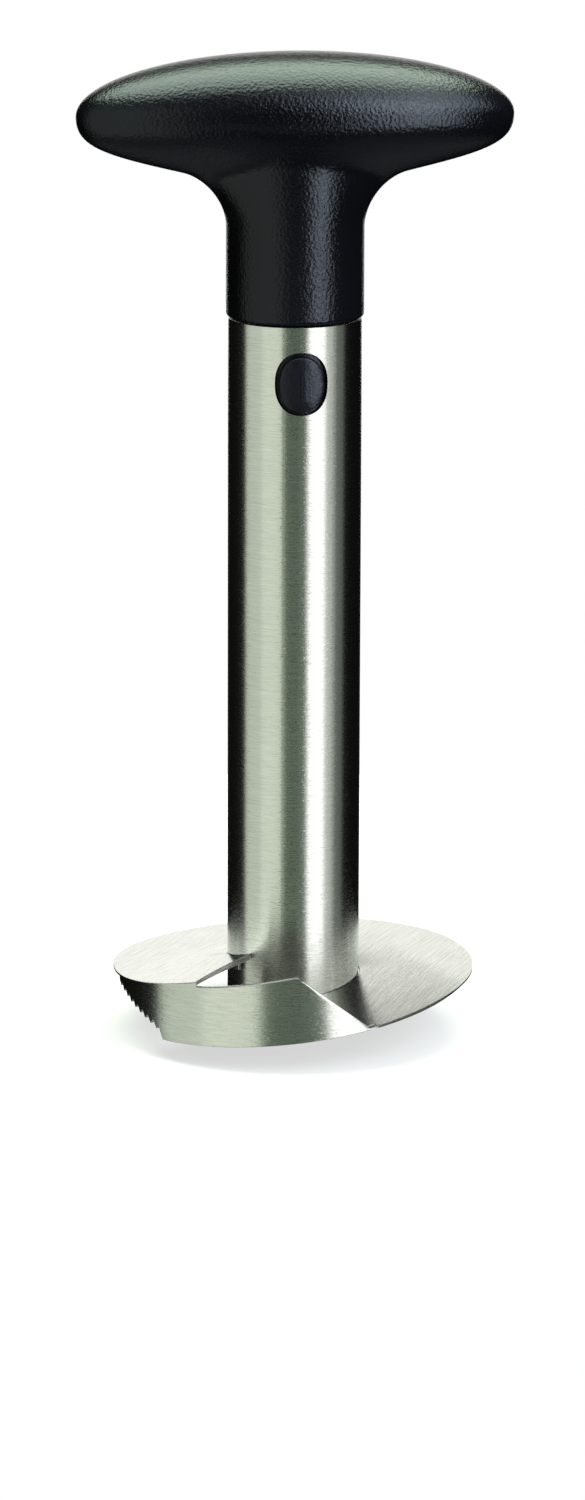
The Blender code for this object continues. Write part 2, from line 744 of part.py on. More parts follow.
def rib_tool(parent):
    """Cross ribs and pin bosses, taken out of the cavity cutter so that they stay in the shells."""
    shape = bmesh.new()
    for share in RIB_PLACE_SHARES:
        left = share * BAR_HALF_LENGTH - RIB_THICKNESS / 2
        right = left + RIB_THICKNESS
        near = -BAR_HALF_DEPTH
        far = BAR_HALF_DEPTH
        corners = ((left, near), (right, near), (right, far), (left, far))
        levels = (CAVITY_FLOOR, GRIP_HEIGHT)
        add_loft(shape, [[Vector((x, y, height)) for x, y in corners] for height in levels])
    for x, z in boss_places():
        add_rod(shape, BOSS_RADIUS, x, z, -BAR_HALF_DEPTH, BAR_HALF_DEPTH)
    return make_tool("rib_tool", shape, parent)


def add_rod(shape, radius, x, z, start, end):
    """A round rod along Y."""
    turns = [2 * math.pi * k / ROD_POINTS for k in range(ROD_POINTS)]
    outline = [(x + radius * math.cos(turn), z + radius * math.sin(turn)) for turn in turns]
    add_loft(shape, [[Vector((across, y, up)) for across, up in outline] for y in (start, end)])


def cavity_cutter(parent):
    """The inside of both shells. Its faces are split into flat triangles, which cut more surely."""
    count = 2 * CAVITY_POINTS
    rings = grip_rings(GRIP_WALL, 2, count)
    floor = circle(STEM_RADIUS - GRIP_WALL, CAVITY_FLOOR, count)
    shape = bmesh.new()
    add_loft(shape, [floor] + rings)
    bmesh.ops.triangulate(shape, faces=shape.faces)
    cutter = make_tool("cavity_cutter", shape, parent)
    add_boolean(cutter, rib_tool(parent), "DIFFERENCE")
    return cutter


def pocket_cutter(parent):
    """The room for the plug's neck and head, with flats that carry the turning load."""
    flat = HEAD_FLAT + SEAT_GAP
    shape = bmesh.new()
    add_loft(shape, [
        circle(NECK_RADIUS + SEAT_GAP, -CUT_OVERRUN, PLUG_POINTS),
        circle(NECK_RADIUS + SEAT_GAP, LIP_THICKNESS, PLUG_POINTS),
        circle(HEAD_RADIUS + SEAT_GAP, LIP_THICKNESS, PLUG_POINTS, flat),
        circle(HEAD_RADIUS + SEAT_GAP, POCKET_TOP, PLUG_POINTS, flat),
    ])
    return make_tool("pocket_cutter", shape, parent)


def pin_tool(parent):
    """Locating pins that stand out of the front shell's bosses."""
    shape = bmesh.new()
    for x, z in boss_places():
        add_rod(shape, PIN_RADIUS, x, z, -PIN_LENGTH, PIN_LENGTH)
    return make_tool("pin_tool", shape, parent)


def socket_cutter(parent):
    shape = bmesh.new()
    for x, z in boss_places():
        add_rod(shape, PIN_RADIUS + PIN_CLEARANCE, x, z, -CUT_OVERRUN, PIN_LENGTH + PIN_CLEARANCE)
    return make_tool("socket_cutter", shape, parent)


def make_handle(material, plug_material):
    axis = make_joint_empty("handle_slide", (0.0, 0.0, COLLAR_HEIGHT))
    cavity = cavity_cutter(axis)
    pocket = pocket_cutter(axis)
    front = make_piece("grip_front_shell", half_shell_solid(-1), material, axis)
    rear = make_piece("grip_rear_shell", half_shell_solid(1), material, axis)
    for shell in (front, rear):
        add_boolean(shell, cavity, "DIFFERENCE")
        add_boolean(shell, pocket, "DIFFERENCE")
    add_boolean(front, pin_tool(axis), "UNION")
    add_boolean(rear, socket_cutter(axis), "DIFFERENCE")
    make_plug(plug_material, axis)


def main():
    clear_scene()
    tube_steel = make_material("tube_steel", (0.62, 0.62, 0.60), 0.30, 1.0)
    disc_steel = make_material("disc_steel", (0.70, 0.70, 0.68), 0.28, 1.0)
    blade_steel = make_material("blade_steel", (0.66, 0.66, 0.64), 0.26, 1.0)
    spring_steel = make_material("spring_steel", (0.50, 0.50, 0.50), 0.35, 1.0)
    grip_plastic = make_material("grip_plastic", (0.020, 0.020, 0.021), 0.48, 0.0)
    button_plastic = make_material("button_plastic", (0.022, 0.022, 0.024), 0.40, 0.0)
    plug_plastic = make_material("plug_plastic", (0.030, 0.030, 0.032), 0.50, 0.0)
    make_core_tube(tube_steel)
    make_slicing_disc(disc_steel)
    make_side_blade(blade_steel)
    make_buttons(button_plastic)
    make_spring(spring_steel)
    make_handle(grip_plastic, plug_plastic)


main()
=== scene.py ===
"""Looks of the corer and slicer: finer surfaces, brushed steel, grained plastic, studio and camera.

Metres, in the frame of the solids: the tube stands on its teeth at z = 0 round the Z axis, the bar
of the handle lies along X and the front button faces -Y. Angles are in degrees from +X towards +Y.
A value whose name ends in PARTS says into how many parts something is divided.
"""

import math

import bmesh
import bpy
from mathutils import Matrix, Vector

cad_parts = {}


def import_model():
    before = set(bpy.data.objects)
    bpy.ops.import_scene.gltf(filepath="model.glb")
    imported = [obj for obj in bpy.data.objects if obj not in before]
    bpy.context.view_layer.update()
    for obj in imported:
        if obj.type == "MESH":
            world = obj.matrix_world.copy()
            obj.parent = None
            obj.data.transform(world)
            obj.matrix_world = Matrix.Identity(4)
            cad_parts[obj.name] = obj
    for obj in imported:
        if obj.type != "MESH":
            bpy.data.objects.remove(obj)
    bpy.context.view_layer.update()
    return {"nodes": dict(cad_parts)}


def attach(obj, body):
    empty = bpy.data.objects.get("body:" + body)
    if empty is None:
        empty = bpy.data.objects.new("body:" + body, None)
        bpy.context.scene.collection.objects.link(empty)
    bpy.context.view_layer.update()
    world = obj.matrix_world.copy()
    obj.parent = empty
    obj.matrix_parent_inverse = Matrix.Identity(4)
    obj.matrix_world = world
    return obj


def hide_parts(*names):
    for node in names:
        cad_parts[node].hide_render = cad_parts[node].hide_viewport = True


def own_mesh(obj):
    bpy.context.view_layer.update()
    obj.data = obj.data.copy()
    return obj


# Unit of length
METRE = 1.0

# Clearances, the overrun of cuts and the distance within which points merge
SEAT_GAP = 0.0003
RUNNING_GAP = 0.00035
CUT_OVERRUN = 0.002
MERGE_DISTANCE = 0.000004

# Edges: only those sharper than this angle are rounded, and only those look crisp
SHARP_ANGLE = 38.0
RIM_ROUND = 0.00015
ROUND_STEPS = 3
PARTING_ROUND = 0.00015
PARTING_STEPS = 2

# Core tube
TUBE_RADIUS = 0.0160
TUBE_WALL = 0.0008
COLLAR_HEIGHT = 0.1757
TOOTH_COUNT = 24
TOOTH_HEIGHT = 0.0025
TOOTH_LAND = 0.0006
TOOTH_STEPS = 5

# Slicing disc
SHEET = 0.0008
DISC_RADIUS = 0.0439
DISC_HEIGHT = 0.01525
DISC_WARP = 0.00095
DISC_WARP_ANGLE = 30.0
LEAD_ANGLE = 218.5
TRAIL_RIM_ANGLE = 592.2
TRAIL_HUB_ANGLE = 584.4
LEAD_FOLD_REACH = 0.0300
LEAD_FOLD_ANGLE = 21.5
LEAD_SPAN = 0.0700
LEAD_DROP = 0.0107
LEAD_EASE = 1.25
TRAIL_SPAN = 0.0300
TRAIL_RISE = 0.00475
TRAIL_EASE = 1.6
TRAIL_HUB_SHARE = 0.18
GROUND_WIDTH = 0.0025
GROUND_EDGE = 0.0002
FULL_LEAD_ANGLE = 355.0
LAST_LEAD_ANGLE = 445.0
FIRST_TRAIL_ANGLE = 485.0
FULL_TRAIL_ANGLE = 545.0
DISC_STEP_ANGLE = 2.0
DISC_ROWS = 16
BRUSHING_ANGLE = 62.0
TAB_ANGLES = (290.0, 360.0, 430.0, 500.0, 570.0)
TAB_WIDTH = 0.0024
TAB_DROP = 0.0030
TAB_SETBACK = 0.0001
LIP_PROUD = 0.00005
LIP_DROP = 0.0006
LIP_LAP = 0.0003
LIP_STEPS = 12

# Side blade. Its eased edge grows to full width over the first of three parts of the falling edge,
# and takes up at most one of three parts of the blade's height.
BLADE_START_ANGLE = 191.0
BLADE_TOOTHED_END_ANGLE = 217.0
BLADE_PEAK_ANGLE = 265.4
BLADE_END_ANGLE = 289.0
BLADE_PEAK = 0.0088
BLADE_RISE_EASE = 1.2
BLADE_TOOTH_COUNT = 9
BLADE_TOOTH_DEPTH = 0.0007
BLADE_TOOTHED_DROP = 0.00765
BLADE_TIP = 0.0005
BLADE_STEP_ANGLE = 1.0
BLADE_EDGE_WIDTH = 0.0002
BLADE_SLOPE_EDGE_WIDTH = 0.0009
BLADE_EDGE_DEPTH = 0.0002
EDGE_GROWTH_PARTS = 3
EDGE_LIMIT_PARTS = 3
RIM_NOTCH_ANGLE = 2.2
NOTCH_SLOPE_ANGLE = 0.6
SEAM_LAP = 0.0003
SEAM_PROUD = 0.00003

# Buttons, their windows and the spring between them, whose halves are cut just off its middle
WINDOW_WIDTH = 0.0126
WINDOW_HEIGHT = 0.0151
WINDOW_DROP = 0.0138
BUTTON_SQUARENESS = 2.3
BUTTON_CROWN = 0.0013
BUTTON_EDGE = 0.0004
BUTTON_BEVEL_SHARE = 0.84
BUTTON_FACE_SHARE = 0.90
BUTTON_ROOF = 0.0003
BUTTON_END_EASE = 4
BUTTON_BEVEL_RINGS = 5
BUTTON_ROOF_RINGS = 6
BUTTON_POINTS = 96
CREASE_OFFSET = 0.00040
CREASE_WIDTH = 0.00020
CREASE_DEPTH = 0.00014
FLANGE_RIM = 0.0014
FLANGE_THICKNESS = 0.0012
BUTTON_TRAVEL = 0.0025
SPRING_SEAT_RADIUS = 0.0042
SPRING_SEAT_RISE = 0.0015
SPRING_CUT = 0.00001
POST_RADIUS = 0.0021
POST_CHAMFER = 0.0004

# T-handle
STEM_STEP = 0.0005
STEM_CORNER = 0.0012
CROWN_HEIGHT = 0.01505
BAR_HALF_LENGTH = 0.0522
BAR_HALF_DEPTH = 0.0195
BELLY_DROP = 0.0120
TIP_HEIGHT = 0.0482
FLARE_WIDTH = 0.0128
FLARE_HEIGHT = 0.0132
FLARE_BASE = 0.0219
FLARE_SQUARENESS = 1.81
FLARE_SWEEP = 79.5
END_REACH_SHARE = 0.78
END_DROP = 0.0067
WING_ROOT_DEPTH = 0.0090
WING_SECTION_DEPTH = 0.0130
WING_EASE = 1.5
WING_BLEND = 3.6
NECK_RADIUS = 0.0090
LIP_THICKNESS = 0.0030
HEAD_SKIN = 0.0033
HEAD_FLAT = 0.0108
HEAD_THICKNESS = 0.0050
GRIP_POINTS = 72
FLARE_STEPS = 18
END_STEPS = 22
CROWN_STEPS = 26
CORNER_STEPS = 5
POCKET_POINTS = 96

# Noise: the range in which most of its values lie, and its usual detail and roughness
NOISE_LOW = 0.3
NOISE_HIGH = 0.7
NOISE_DETAIL = 3.0
NOISE_ROUGHNESS = 0.6

# Steel: colours between dark and light marks, and the size and depth of strokes and scratches
TUBE_STEEL = {
    "dark": (0.565, 0.575, 0.555), "light": (0.685, 0.685, 0.665),
    "roughness": 0.265, "relief": 0.7,
}
BLADE_STEEL = {
    "dark": (0.565, 0.575, 0.555), "light": (0.70, 0.70, 0.68),
    "roughness": 0.26, "relief": 0.7,
}
DISC_STEEL = {
    "dark": (0.55, 0.56, 0.52), "light": (0.76, 0.77, 0.73),
    "roughness": 0.23, "relief": 0.35,
}
CUT_STEEL = {
    "dark": (0.46, 0.46, 0.44), "light": (0.64, 0.64, 0.62),
    "smooth": 0.50, "rough": 0.64, "relief": 0.3,
}
SPRING_STEEL = {
    "dark": (0.40, 0.40, 0.39), "light": (0.58, 0.58, 0.57),
    "smooth": 0.26, "rough": 0.42, "relief": 0.2,
}
STROKE_LENGTH = 0.0050
STROKE_WIDTH = 0.00030
STROKE_DETAIL = 5.0
STROKE_ROUGHNESS = 0.65
STROKE_DEPTH = 0.000012
SHEET_STROKE_LENGTH = 0.012
SHEET_STROKE_WIDTH = 0.0005
SCRATCH_LENGTH = 0.0014
SCRATCH_WIDTH = 0.00030
SCRATCH_DETAIL = 2.0
SCRATCH_ROUGHNESS = 0.5
SCRATCH_LOW = 0.58
SCRATCH_HIGH = 0.72
SCRATCH_RELIEF = 0.7
SCRATCH_DEPTH = 0.00002
SCRATCH_BLUR_PARTS = 5
ROUGHNESS_SWING_SHARE = 0.12
ANISOTROPY = 0.76
QUARTER_TURN_SHARE = 0.25

# Plastic: colours between which it drifts, and its grains
GRIP_PLASTIC = {
    "dark": (0.0022, 0.0022, 0.0032), "light": (0.0036, 0.0036, 0.0050),
    "roughness": 0.18, "relief": 0.75,
}
BUTTON_PLASTIC = {
    "dark": (0.003, 0.003, 0.005), "light": (0.005, 0.005, 0.008),
    "roughness": 0.30, "relief": 0.4,
}
PLUG_PLASTIC = {
    "dark": (0.022, 0.022, 0.024), "light": (0.034, 0.034, 0.036),
    "roughness": 0.46, "relief": 0.2,
}
PLASTIC_SHINE = 0.28
PLASTIC_TINT = (0.84, 0.88, 1.0)
GRAIN_SIZE = 0.0008
GRAIN_SMOOTHNESS = 0.6
GRAIN_DEPTH_PARTS = 4.5
FINE_GRAIN_SIZE = 0.0005
CELL_SHARE = 0.6
FINE_GRAIN_SHARE = 0.7
DRIFT_SIZE = 0.04
DRIFT_NOISE_ROUGHNESS = 0.5
DRIFT_ROUGHNESS = 0.03
GRAIN_ROUGHNESS = 0.04

# Floor and room
WHITE = (1.0, 1.0, 1.0)
FLOOR_RADIUS = 0.26
FLOOR_POINTS = 96
FLOOR_COLOUR = (0.30, 0.30, 0.30)
FLOOR_GLOW = 0.60
ROOM_GLOW = 0.004
BACKDROP_GLOW = 1.0

# Camera, seen from the axis: distance and height from the photograph's perspective
CAMERA_AZIMUTH = 6.0
CAMERA_DISTANCE = 1.506
CAMERA_HEIGHT = 0.430
CAMERA_PITCH = 13.474
CAMERA_YAW = -0.0513
CAMERA_ROLL = -0.170
CAMERA_LENS = 153.3
CAMERA_SENSOR = 36.0

# Lamps: soft panels that face one point on the tube's axis. Their bearings are counted from the
# camera's side, positive to the picture's right.
AIM_HEIGHT = 0.12
SHARED_PANELS = {
    "left_panel": {
        "bearing": -39.0, "distance": 0.80, "height": 0.10, "width": 0.54, "tall": 1.60,
        "radiance": 1.00, "colour": (0.92, 1.00, 0.83),
    },
    "left_side_panel": {
        "bearing": -75.0, "distance": 0.80, "height": 0.10, "width": 0.50, "tall": 1.60,
        "radiance": 0.80, "colour": (0.91, 1.00, 0.84),
    },
    "front_panel": {
        "bearing": 2.0, "distance": 1.70, "height": -0.29, "width": 1.45, "tall": 0.50,
        "radiance": 0.34, "colour": (0.74, 1.00, 0.70),
    },
    "back_panel": {
        "bearing": 180.0, "distance": 1.30, "height": 0.31, "width": 0.90, "tall": 0.78,
        "radiance": 1.22, "colour": (1.00, 1.00, 0.96),
    },
    "low_panel": {
        "bearing": 0.0, "distance": 0.01, "height": -0.35, "width": 0.90, "tall": 0.90,
        "radiance": 0.20, "colour": (0.94, 0.97, 1.00),
    },
    "overhead_panel": {
        "bearing": 180.0, "distance": 0.10, "height": 1.15, "width": 1.30, "tall": 1.10,
        "radiance": 1.00, "colour": WHITE,
    },
}
STEEL_PANELS = {
    "right_panel": {
        "bearing": 38.6, "distance": 0.90, "height": 0.10, "width": 0.49, "tall": 1.60,
        "radiance": 1.90, "colour": (1.00, 1.00, 0.99),
    },
    "side_panel": {
        "bearing": 62.5, "distance": 0.95, "height": 0.10, "width": 0.31, "tall": 1.60,
        "radiance": 0.72, "colour": (0.93, 1.00, 0.91),
    },
    "far_side_panel": {
        "bearing": 82.0, "distance": 0.95, "height": 0.10, "width": 0.37, "tall": 1.60,
        "radiance": 0.18, "colour": (0.88, 1.00, 0.86),
    },
}
PLASTIC_PANELS = {
    "right_strip": {
        "bearing": 42.0, "distance": 0.90, "height": 0.32, "width": 0.34, "tall": 1.15,
        "radiance": 7.20, "colour": (0.87, 0.95, 1.00),
    },
    "top_panel": {
        "bearing": -168.0, "distance": 0.26, "height": 1.15, "width": 1.30, "tall": 0.90,
        "radiance": 8.90, "colour": (0.80, 1.00, 0.76),
    },
    "upper_right_panel": {
        "bearing": 56.0, "distance": 0.80, "height": 0.92, "width": 0.95, "tall": 0.75,
        "radiance": 4.80, "colour": (0.84, 0.96, 1.00),
    },
}
RING_BEARINGS = (-138, -92, -46, 0, 46, 92, 138)
RING_PANEL = {
    "distance": 1.30, "height": 0.36, "width": 1.15, "tall": 0.90,
    "radiance": 1.30, "colour": (0.95, 1.00, 0.95),
}

# Sizes that follow from the ones above
TUBE_BORE = TUBE_RADIUS - TUBE_WALL
TUBE_TOP = COLLAR_HEIGHT - SEAT_GAP
HUB_RADIUS = TUBE_RADIUS + SEAT_GAP
BLADE_BORE = DISC_RADIUS - SHEET
LOW_RIM_RADIUS = BLADE_BORE - SEAT_GAP
WINDOW_CENTRE = COLLAR_HEIGHT - WINDOW_DROP
BUTTON_HALF_WIDTH = WINDOW_WIDTH / 2 - RUNNING_GAP
BUTTON_HALF_HEIGHT = WINDOW_HEIGHT / 2 - RUNNING_GAP
FLANGE_HALF_WIDTH = WINDOW_WIDTH / 2 + FLANGE_RIM
FLANGE_HALF_HEIGHT = WINDOW_HEIGHT / 2 + FLANGE_RIM
FLANGE_FRONT = TUBE_BORE - SEAT_GAP
FLANGE_BACK = FLANGE_FRONT - FLANGE_THICKNESS
SPRING_SEAT = FLANGE_BACK - SPRING_SEAT_RISE
HEAD_BASE = LIP_THICKNESS + SEAT_GAP
STEM_RADIUS = TUBE_RADIUS + STEM_STEP
HEAD_RADIUS = STEM_RADIUS - HEAD_SKIN
POCKET_TOP = HEAD_BASE + HEAD_THICKNESS + SEAT_GAP
GRIP_HEIGHT = TIP_HEIGHT + CROWN_HEIGHT


# Meshes


def at_angle(radius, angle, height):
    turn = math.radians(angle)
    return Vector((radius * math.cos(turn), radius * math.sin(turn), height))


def circle(radius, height, count, flat=None):
    """A level ring of points round Z. With flat, it is cut by two flats that face along Y."""
    points = [at_angle(radius, 360 * k / count, height) for k in range(count)]
    if flat is not None:
        for point in points:
            point.y = max(-flat, min(flat, point.y))
    return points


def oval(half_width, half_height, squareness, turn):
    """The point of a superellipse at an angle in radians."""
    power = 2 / squareness
    across = math.copysign(abs(math.cos(turn)) ** power, math.cos(turn))
    along = math.copysign(abs(math.sin(turn)) ** power, math.sin(turn))
    return half_width * across, half_height * along


def blend(share):
    """Eases from 0 to 1 with level ends."""
    share = max(0.0, min(1.0, share))
    return share * share * (3 - 2 * share)


def add_loft(shape, sections, ring=False):
    """Joins equal loops of points by quads. An open loft gets a face at each end."""
    loops = [[shape.verts.new(point) for point in section] for section in sections]
    pairs = list(zip(loops, loops[1:]))
    if ring:
        pairs.append((loops[-1], loops[0]))
    for first, second in pairs:
        for k in range(len(first)):
            after = (k + 1) % len(first)
            shape.faces.new((first[k], first[after], second[after], second[k]))
    if not ring:
        shape.faces.new(list(reversed(loops[0])))
        shape.faces.new(loops[-1])


def link(name, data):
    item = bpy.data.objects.new(name, data)
    bpy.context.scene.collection.objects.link(item)
    return item


def make_mesh(name, shape):
    bmesh.ops.recalc_face_normals(shape, faces=shape.faces)
    mesh = bpy.data.meshes.new(name)
    shape.to_mesh(mesh)
    shape.free()
    return mesh


def carve(piece, tool_shape):
    """Cuts a closed shape out of a piece, merges the points that fall together and keeps the result."""
    tool = link(piece.name + "_cutter", make_mesh("cutter", tool_shape))
    modifier = piece.modifiers.new("cut", "BOOLEAN")
    modifier.operation = "DIFFERENCE"
    modifier.solver = "EXACT"
    modifier.object = tool
    weld = piece.modifiers.new("weld", "WELD")
    weld.merge_threshold = MERGE_DISTANCE
    settle(piece)
    bpy.data.objects.remove(tool)


def round_edges(piece, width, segments=ROUND_STEPS):
    modifier = piece.modifiers.new("round", "BEVEL")
    modifier.width = width
    modifier.segments = segments
    modifier.limit_method = "ANGLE"
    modifier.angle_limit = math.radians(SHARP_ANGLE)
    modifier.use_clamp_overlap = True
    settle(piece)


def settle(piece):
    """Turns what the modifiers make into the piece's own mesh."""
    graph = bpy.context.evaluated_depsgraph_get()
    mesh = bpy.data.meshes.new_from_object(piece.evaluated_get(graph))
    piece.modifiers.clear()
    piece.data = mesh


def shade(piece):
    piece.data.shade_smooth()
    piece.data.set_sharp_from_angle(angle=math.radians(SHARP_ANGLE))
    modifier = piece.modifiers.new("normals", "WEIGHTED_NORMAL")
    modifier.keep_sharp = True


def dress(piece, material, body, replaces=None):
    piece.data.materials.clear()
    piece.data.materials.append(material)
    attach(piece, body)
    if replaces:
        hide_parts(replaces)
    return piece


# Core tube


def window_tool():
    reach = TUBE_RADIUS + CUT_OVERRUN
    turns = [2 * math.pi * k / BUTTON_POINTS for k in range(BUTTON_POINTS)]
    outline = [oval(WINDOW_WIDTH / 2, WINDOW_HEIGHT / 2, BUTTON_SQUARENESS, turn) for turn in turns]
    shape = bmesh.new()
    ends = [[Vector((x, end, WINDOW_CENTRE + z)) for x, z in outline] for end in (-reach, reach)]
    add_loft(shape, ends)
    return shape


def tooth_profile():
    """(offset angle, height) over one pitch: a small land, two flanks and the gullet between teeth."""
    pitch = 360 / TOOTH_COUNT
    half_land = math.degrees(TOOTH_LAND / TUBE_RADIUS / 2)
    flank = pitch / 2 - half_land
    profile = [(-half_land, 0.0)]
    for k in range(2 * TOOTH_STEPS):
        share = k / TOOTH_STEPS
        profile.append((half_land + flank * share, TOOTH_HEIGHT * (1 - abs(1 - share))))
    return profile


def make_tube(steel):
    pitch = 360 / TOOTH_COUNT
    sections = []
    for tooth in range(TOOTH_COUNT):
        for offset, foot in tooth_profile():
            angle = tooth * pitch + offset
            corners = (
                (TUBE_RADIUS, foot),
                (TUBE_RADIUS, TUBE_TOP),
                (TUBE_BORE, TUBE_TOP),
                (TUBE_BORE, foot),
            )
            sections.append([at_angle(radius, angle, height) for radius, height in corners])
    shape = bmesh.new()
    add_loft(shape, sections, ring=True)
    tube = link("tube_skin", make_mesh("tube_skin", shape))
    carve(tube, window_tool())
    round_edges(tube, RIM_ROUND)
    shade(tube)
    return dress(tube, steel, "cutter", "core_tube")


# Slicing disc


def trail_edge_distance(angle, radius):
    hub = at_angle(HUB_RADIUS, TRAIL_HUB_ANGLE, 0.0)
    rim = at_angle(DISC_RADIUS, TRAIL_RIM_ANGLE, 0.0)
    along = (rim - hub).normalized()
    return abs(along.cross(at_angle(radius, angle, 0.0) - hub).z)


def disc_height(angle, radius):
    """Height of the middle of the warped sheet, whose ends are bent along straight folds."""
    fold = math.radians(angle - LEAD_FOLD_ANGLE)
    past_fold = LEAD_FOLD_REACH - radius * math.cos(fold)
    lead_share = blend((LAST_LEAD_ANGLE - angle) / (LAST_LEAD_ANGLE - FULL_LEAD_ANGLE))
    drop = LEAD_DROP * min(1.0, max(0.0, past_fold / LEAD_SPAN)) ** LEAD_EASE
    trail_share = blend((angle - FIRST_TRAIL_ANGLE) / (FULL_TRAIL_ANGLE - FIRST_TRAIL_ANGLE))
    from_edge = trail_edge_distance(angle, radius)
    rise = TRAIL_RISE * min(1.0, max(0.0, 1 - from_edge / TRAIL_SPAN)) ** TRAIL_EASE
    rise *= 1 + TRAIL_HUB_SHARE * (DISC_RADIUS - radius) / (DISC_RADIUS - HUB_RADIUS)
    warp = DISC_WARP * (radius / DISC_RADIUS) ** 2 * math.cos(2 * math.radians(angle - DISC_WARP_ANGLE))
    return DISC_HEIGHT + warp - drop * lead_share + rise * trail_share


def sheet_thickness(angle, radius):
    from_edge = math.radians(angle - LEAD_ANGLE) * radius
    return GROUND_EDGE + (SHEET - GROUND_EDGE) * min(1.0, from_edge / GROUND_WIDTH)


def disc_stations():
    """(angle, radius) at the rim of each section, closer along the ground edge."""
    ground = math.degrees(GROUND_WIDTH / DISC_RADIUS)
    hub_ground = math.degrees(GROUND_WIDTH / HUB_RADIUS)
    notch = BLADE_END_ANGLE + RIM_NOTCH_ANGLE
    stations = [(LEAD_ANGLE + step, LOW_RIM_RADIUS) for step in (0.0, ground, (ground + hub_ground) / 2)]
    spans = (
        (LEAD_ANGLE + hub_ground, notch, LOW_RIM_RADIUS),
        (notch + NOTCH_SLOPE_ANGLE, TRAIL_RIM_ANGLE, DISC_RADIUS),
    )
    for start, end, radius in spans:
        steps = math.ceil((end - start) / DISC_STEP_ANGLE)
        stations += [(start + (end - start) * k / steps, radius) for k in range(steps + 1)]
    return stations


def disc_section(rim_angle, rim_radius):
    """A closed loop round the sheet from hub to rim, with the rim's corners rounded."""
    angle_share = (rim_angle - LEAD_ANGLE) / (TRAIL_RIM_ANGLE - LEAD_ANGLE)
    inset_share = RIM_ROUND / (rim_radius - HUB_RADIUS)
    shares = [row / (DISC_ROWS - 1) for row in range(DISC_ROWS - 1)] + [1 - inset_share, 1.0]
    top = []
    bottom = []
    for share in shares:
        last = TRAIL_HUB_ANGLE + (TRAIL_RIM_ANGLE - TRAIL_HUB_ANGLE) * share
        angle = LEAD_ANGLE + angle_share * (last - LEAD_ANGLE)
        radius = HUB_RADIUS + (rim_radius - HUB_RADIUS) * share
        middle = disc_height(angle, radius)
        half = sheet_thickness(angle, radius) / 2
        if share == 1.0:
            half = max(half - RIM_ROUND, half / 2)
        top.append(at_angle(radius, angle, middle + half))
        bottom.append(at_angle(radius, angle, middle - half))
    return top + bottom[::-1]


def add_brushed_map(mesh, direction):
    """Lays out the sheet flat, with the map's first axis along the brushing."""
    turn = math.radians(direction)
    along = Vector((math.cos(turn), math.sin(turn), 0.0))
    across = Vector((-math.sin(turn), math.cos(turn), 0.0))
    layer = mesh.uv_layers.new(name="brushing")
    for loop in mesh.loops:
        point = mesh.vertices[loop.vertex_index].co
        layer.data[loop.index].uv = (point.dot(along), point.dot(across))


def tab_shape(angle):
    inner = HUB_RADIUS + TAB_SETBACK
    outer = inner + SHEET
    half = math.degrees(TAB_WIDTH / inner / 2)
    middle = disc_height(angle, inner)
    foot = middle - TAB_DROP
    sections = []
    for turn in (angle - half, angle - half / 2, angle, angle + half / 2, angle + half):
        corners = ((outer, middle), (inner, middle), (inner, foot), (outer, foot))
        sections.append([at_angle(radius, turn, height) for radius, height in corners])
    shape = bmesh.new()
    add_loft(shape, sections)
    return shape


def make_disc(steel):
    shape = bmesh.new()
    add_loft(shape, [disc_section(angle, radius) for angle, radius in disc_stations()])
    disc = link("disc_skin", make_mesh("disc_skin", shape))
    add_brushed_map(disc.data, BRUSHING_ANGLE)
    shade(disc)
    return dress(disc, steel, "cutter", "slicing_disc")


def make_tabs(steel):
    tabs = []
    for angle in TAB_ANGLES:
        tab = link(f"hub_tab_{angle:.0f}", make_mesh("hub_tab", tab_shape(angle)))
        round_edges(tab, RIM_ROUND)
        shade(tab)
        tabs.append(dress(tab, steel, "cutter"))
    return tabs


# Side blade


def blade_top(angle):
    seat = disc_height(angle + 360, DISC_RADIUS) - SHEET / 2 - SEAT_GAP
    edge = disc_height(TRAIL_RIM_ANGLE, DISC_RADIUS) - SHEET / 2 - SEAT_GAP
    trail = TRAIL_RIM_ANGLE - 360
    peak = DISC_HEIGHT + BLADE_PEAK
    if angle <= trail:
        return seat
    if angle <= BLADE_PEAK_ANGLE:
        return edge + (peak - edge) * ((angle - trail) / (BLADE_PEAK_ANGLE - trail)) ** BLADE_RISE_EASE
    foot = blade_foot(BLADE_END_ANGLE) + BLADE_TIP
    return peak + (foot - peak) * (angle - BLADE_PEAK_ANGLE) / (BLADE_END_ANGLE - BLADE_PEAK_ANGLE)


def blade_foot(angle):
    return disc_height(angle, LOW_RIM_RADIUS) - SHEET / 2


def blade_sections():
    """(angle, foot, top) along the side blade: the toothed slope, then the long band."""
    start = blade_top(BLADE_START_ANGLE) - BLADE_TIP
    end = DISC_HEIGHT - BLADE_TOOTHED_DROP
    half_teeth = 2 * BLADE_TOOTH_COUNT
    sections = []
    for k in range(half_teeth + 1):
        share = k / half_teeth
        angle = BLADE_START_ANGLE + (BLADE_TOOTHED_END_ANGLE - BLADE_START_ANGLE) * share
        foot = start + (end - start) * share
        if k % 2:
            foot -= BLADE_TOOTH_DEPTH
        elif 0 < k < half_teeth:
            foot += BLADE_TOOTH_DEPTH
        sections.append((angle, foot, blade_top(angle)))
    corners = (LEAD_ANGLE, TRAIL_RIM_ANGLE - 360, BLADE_PEAK_ANGLE, BLADE_END_ANGLE)
    for first, last in zip(corners, corners[1:]):
        steps = math.ceil((last - first) / BLADE_STEP_ANGLE)
        for k in range(steps):
            angle = first + (last - first) * k / steps
            sections.append((angle, blade_foot(angle), blade_top(angle)))
    sections.append((BLADE_END_ANGLE, blade_foot(BLADE_END_ANGLE), blade_top(BLADE_END_ANGLE)))
    return sections


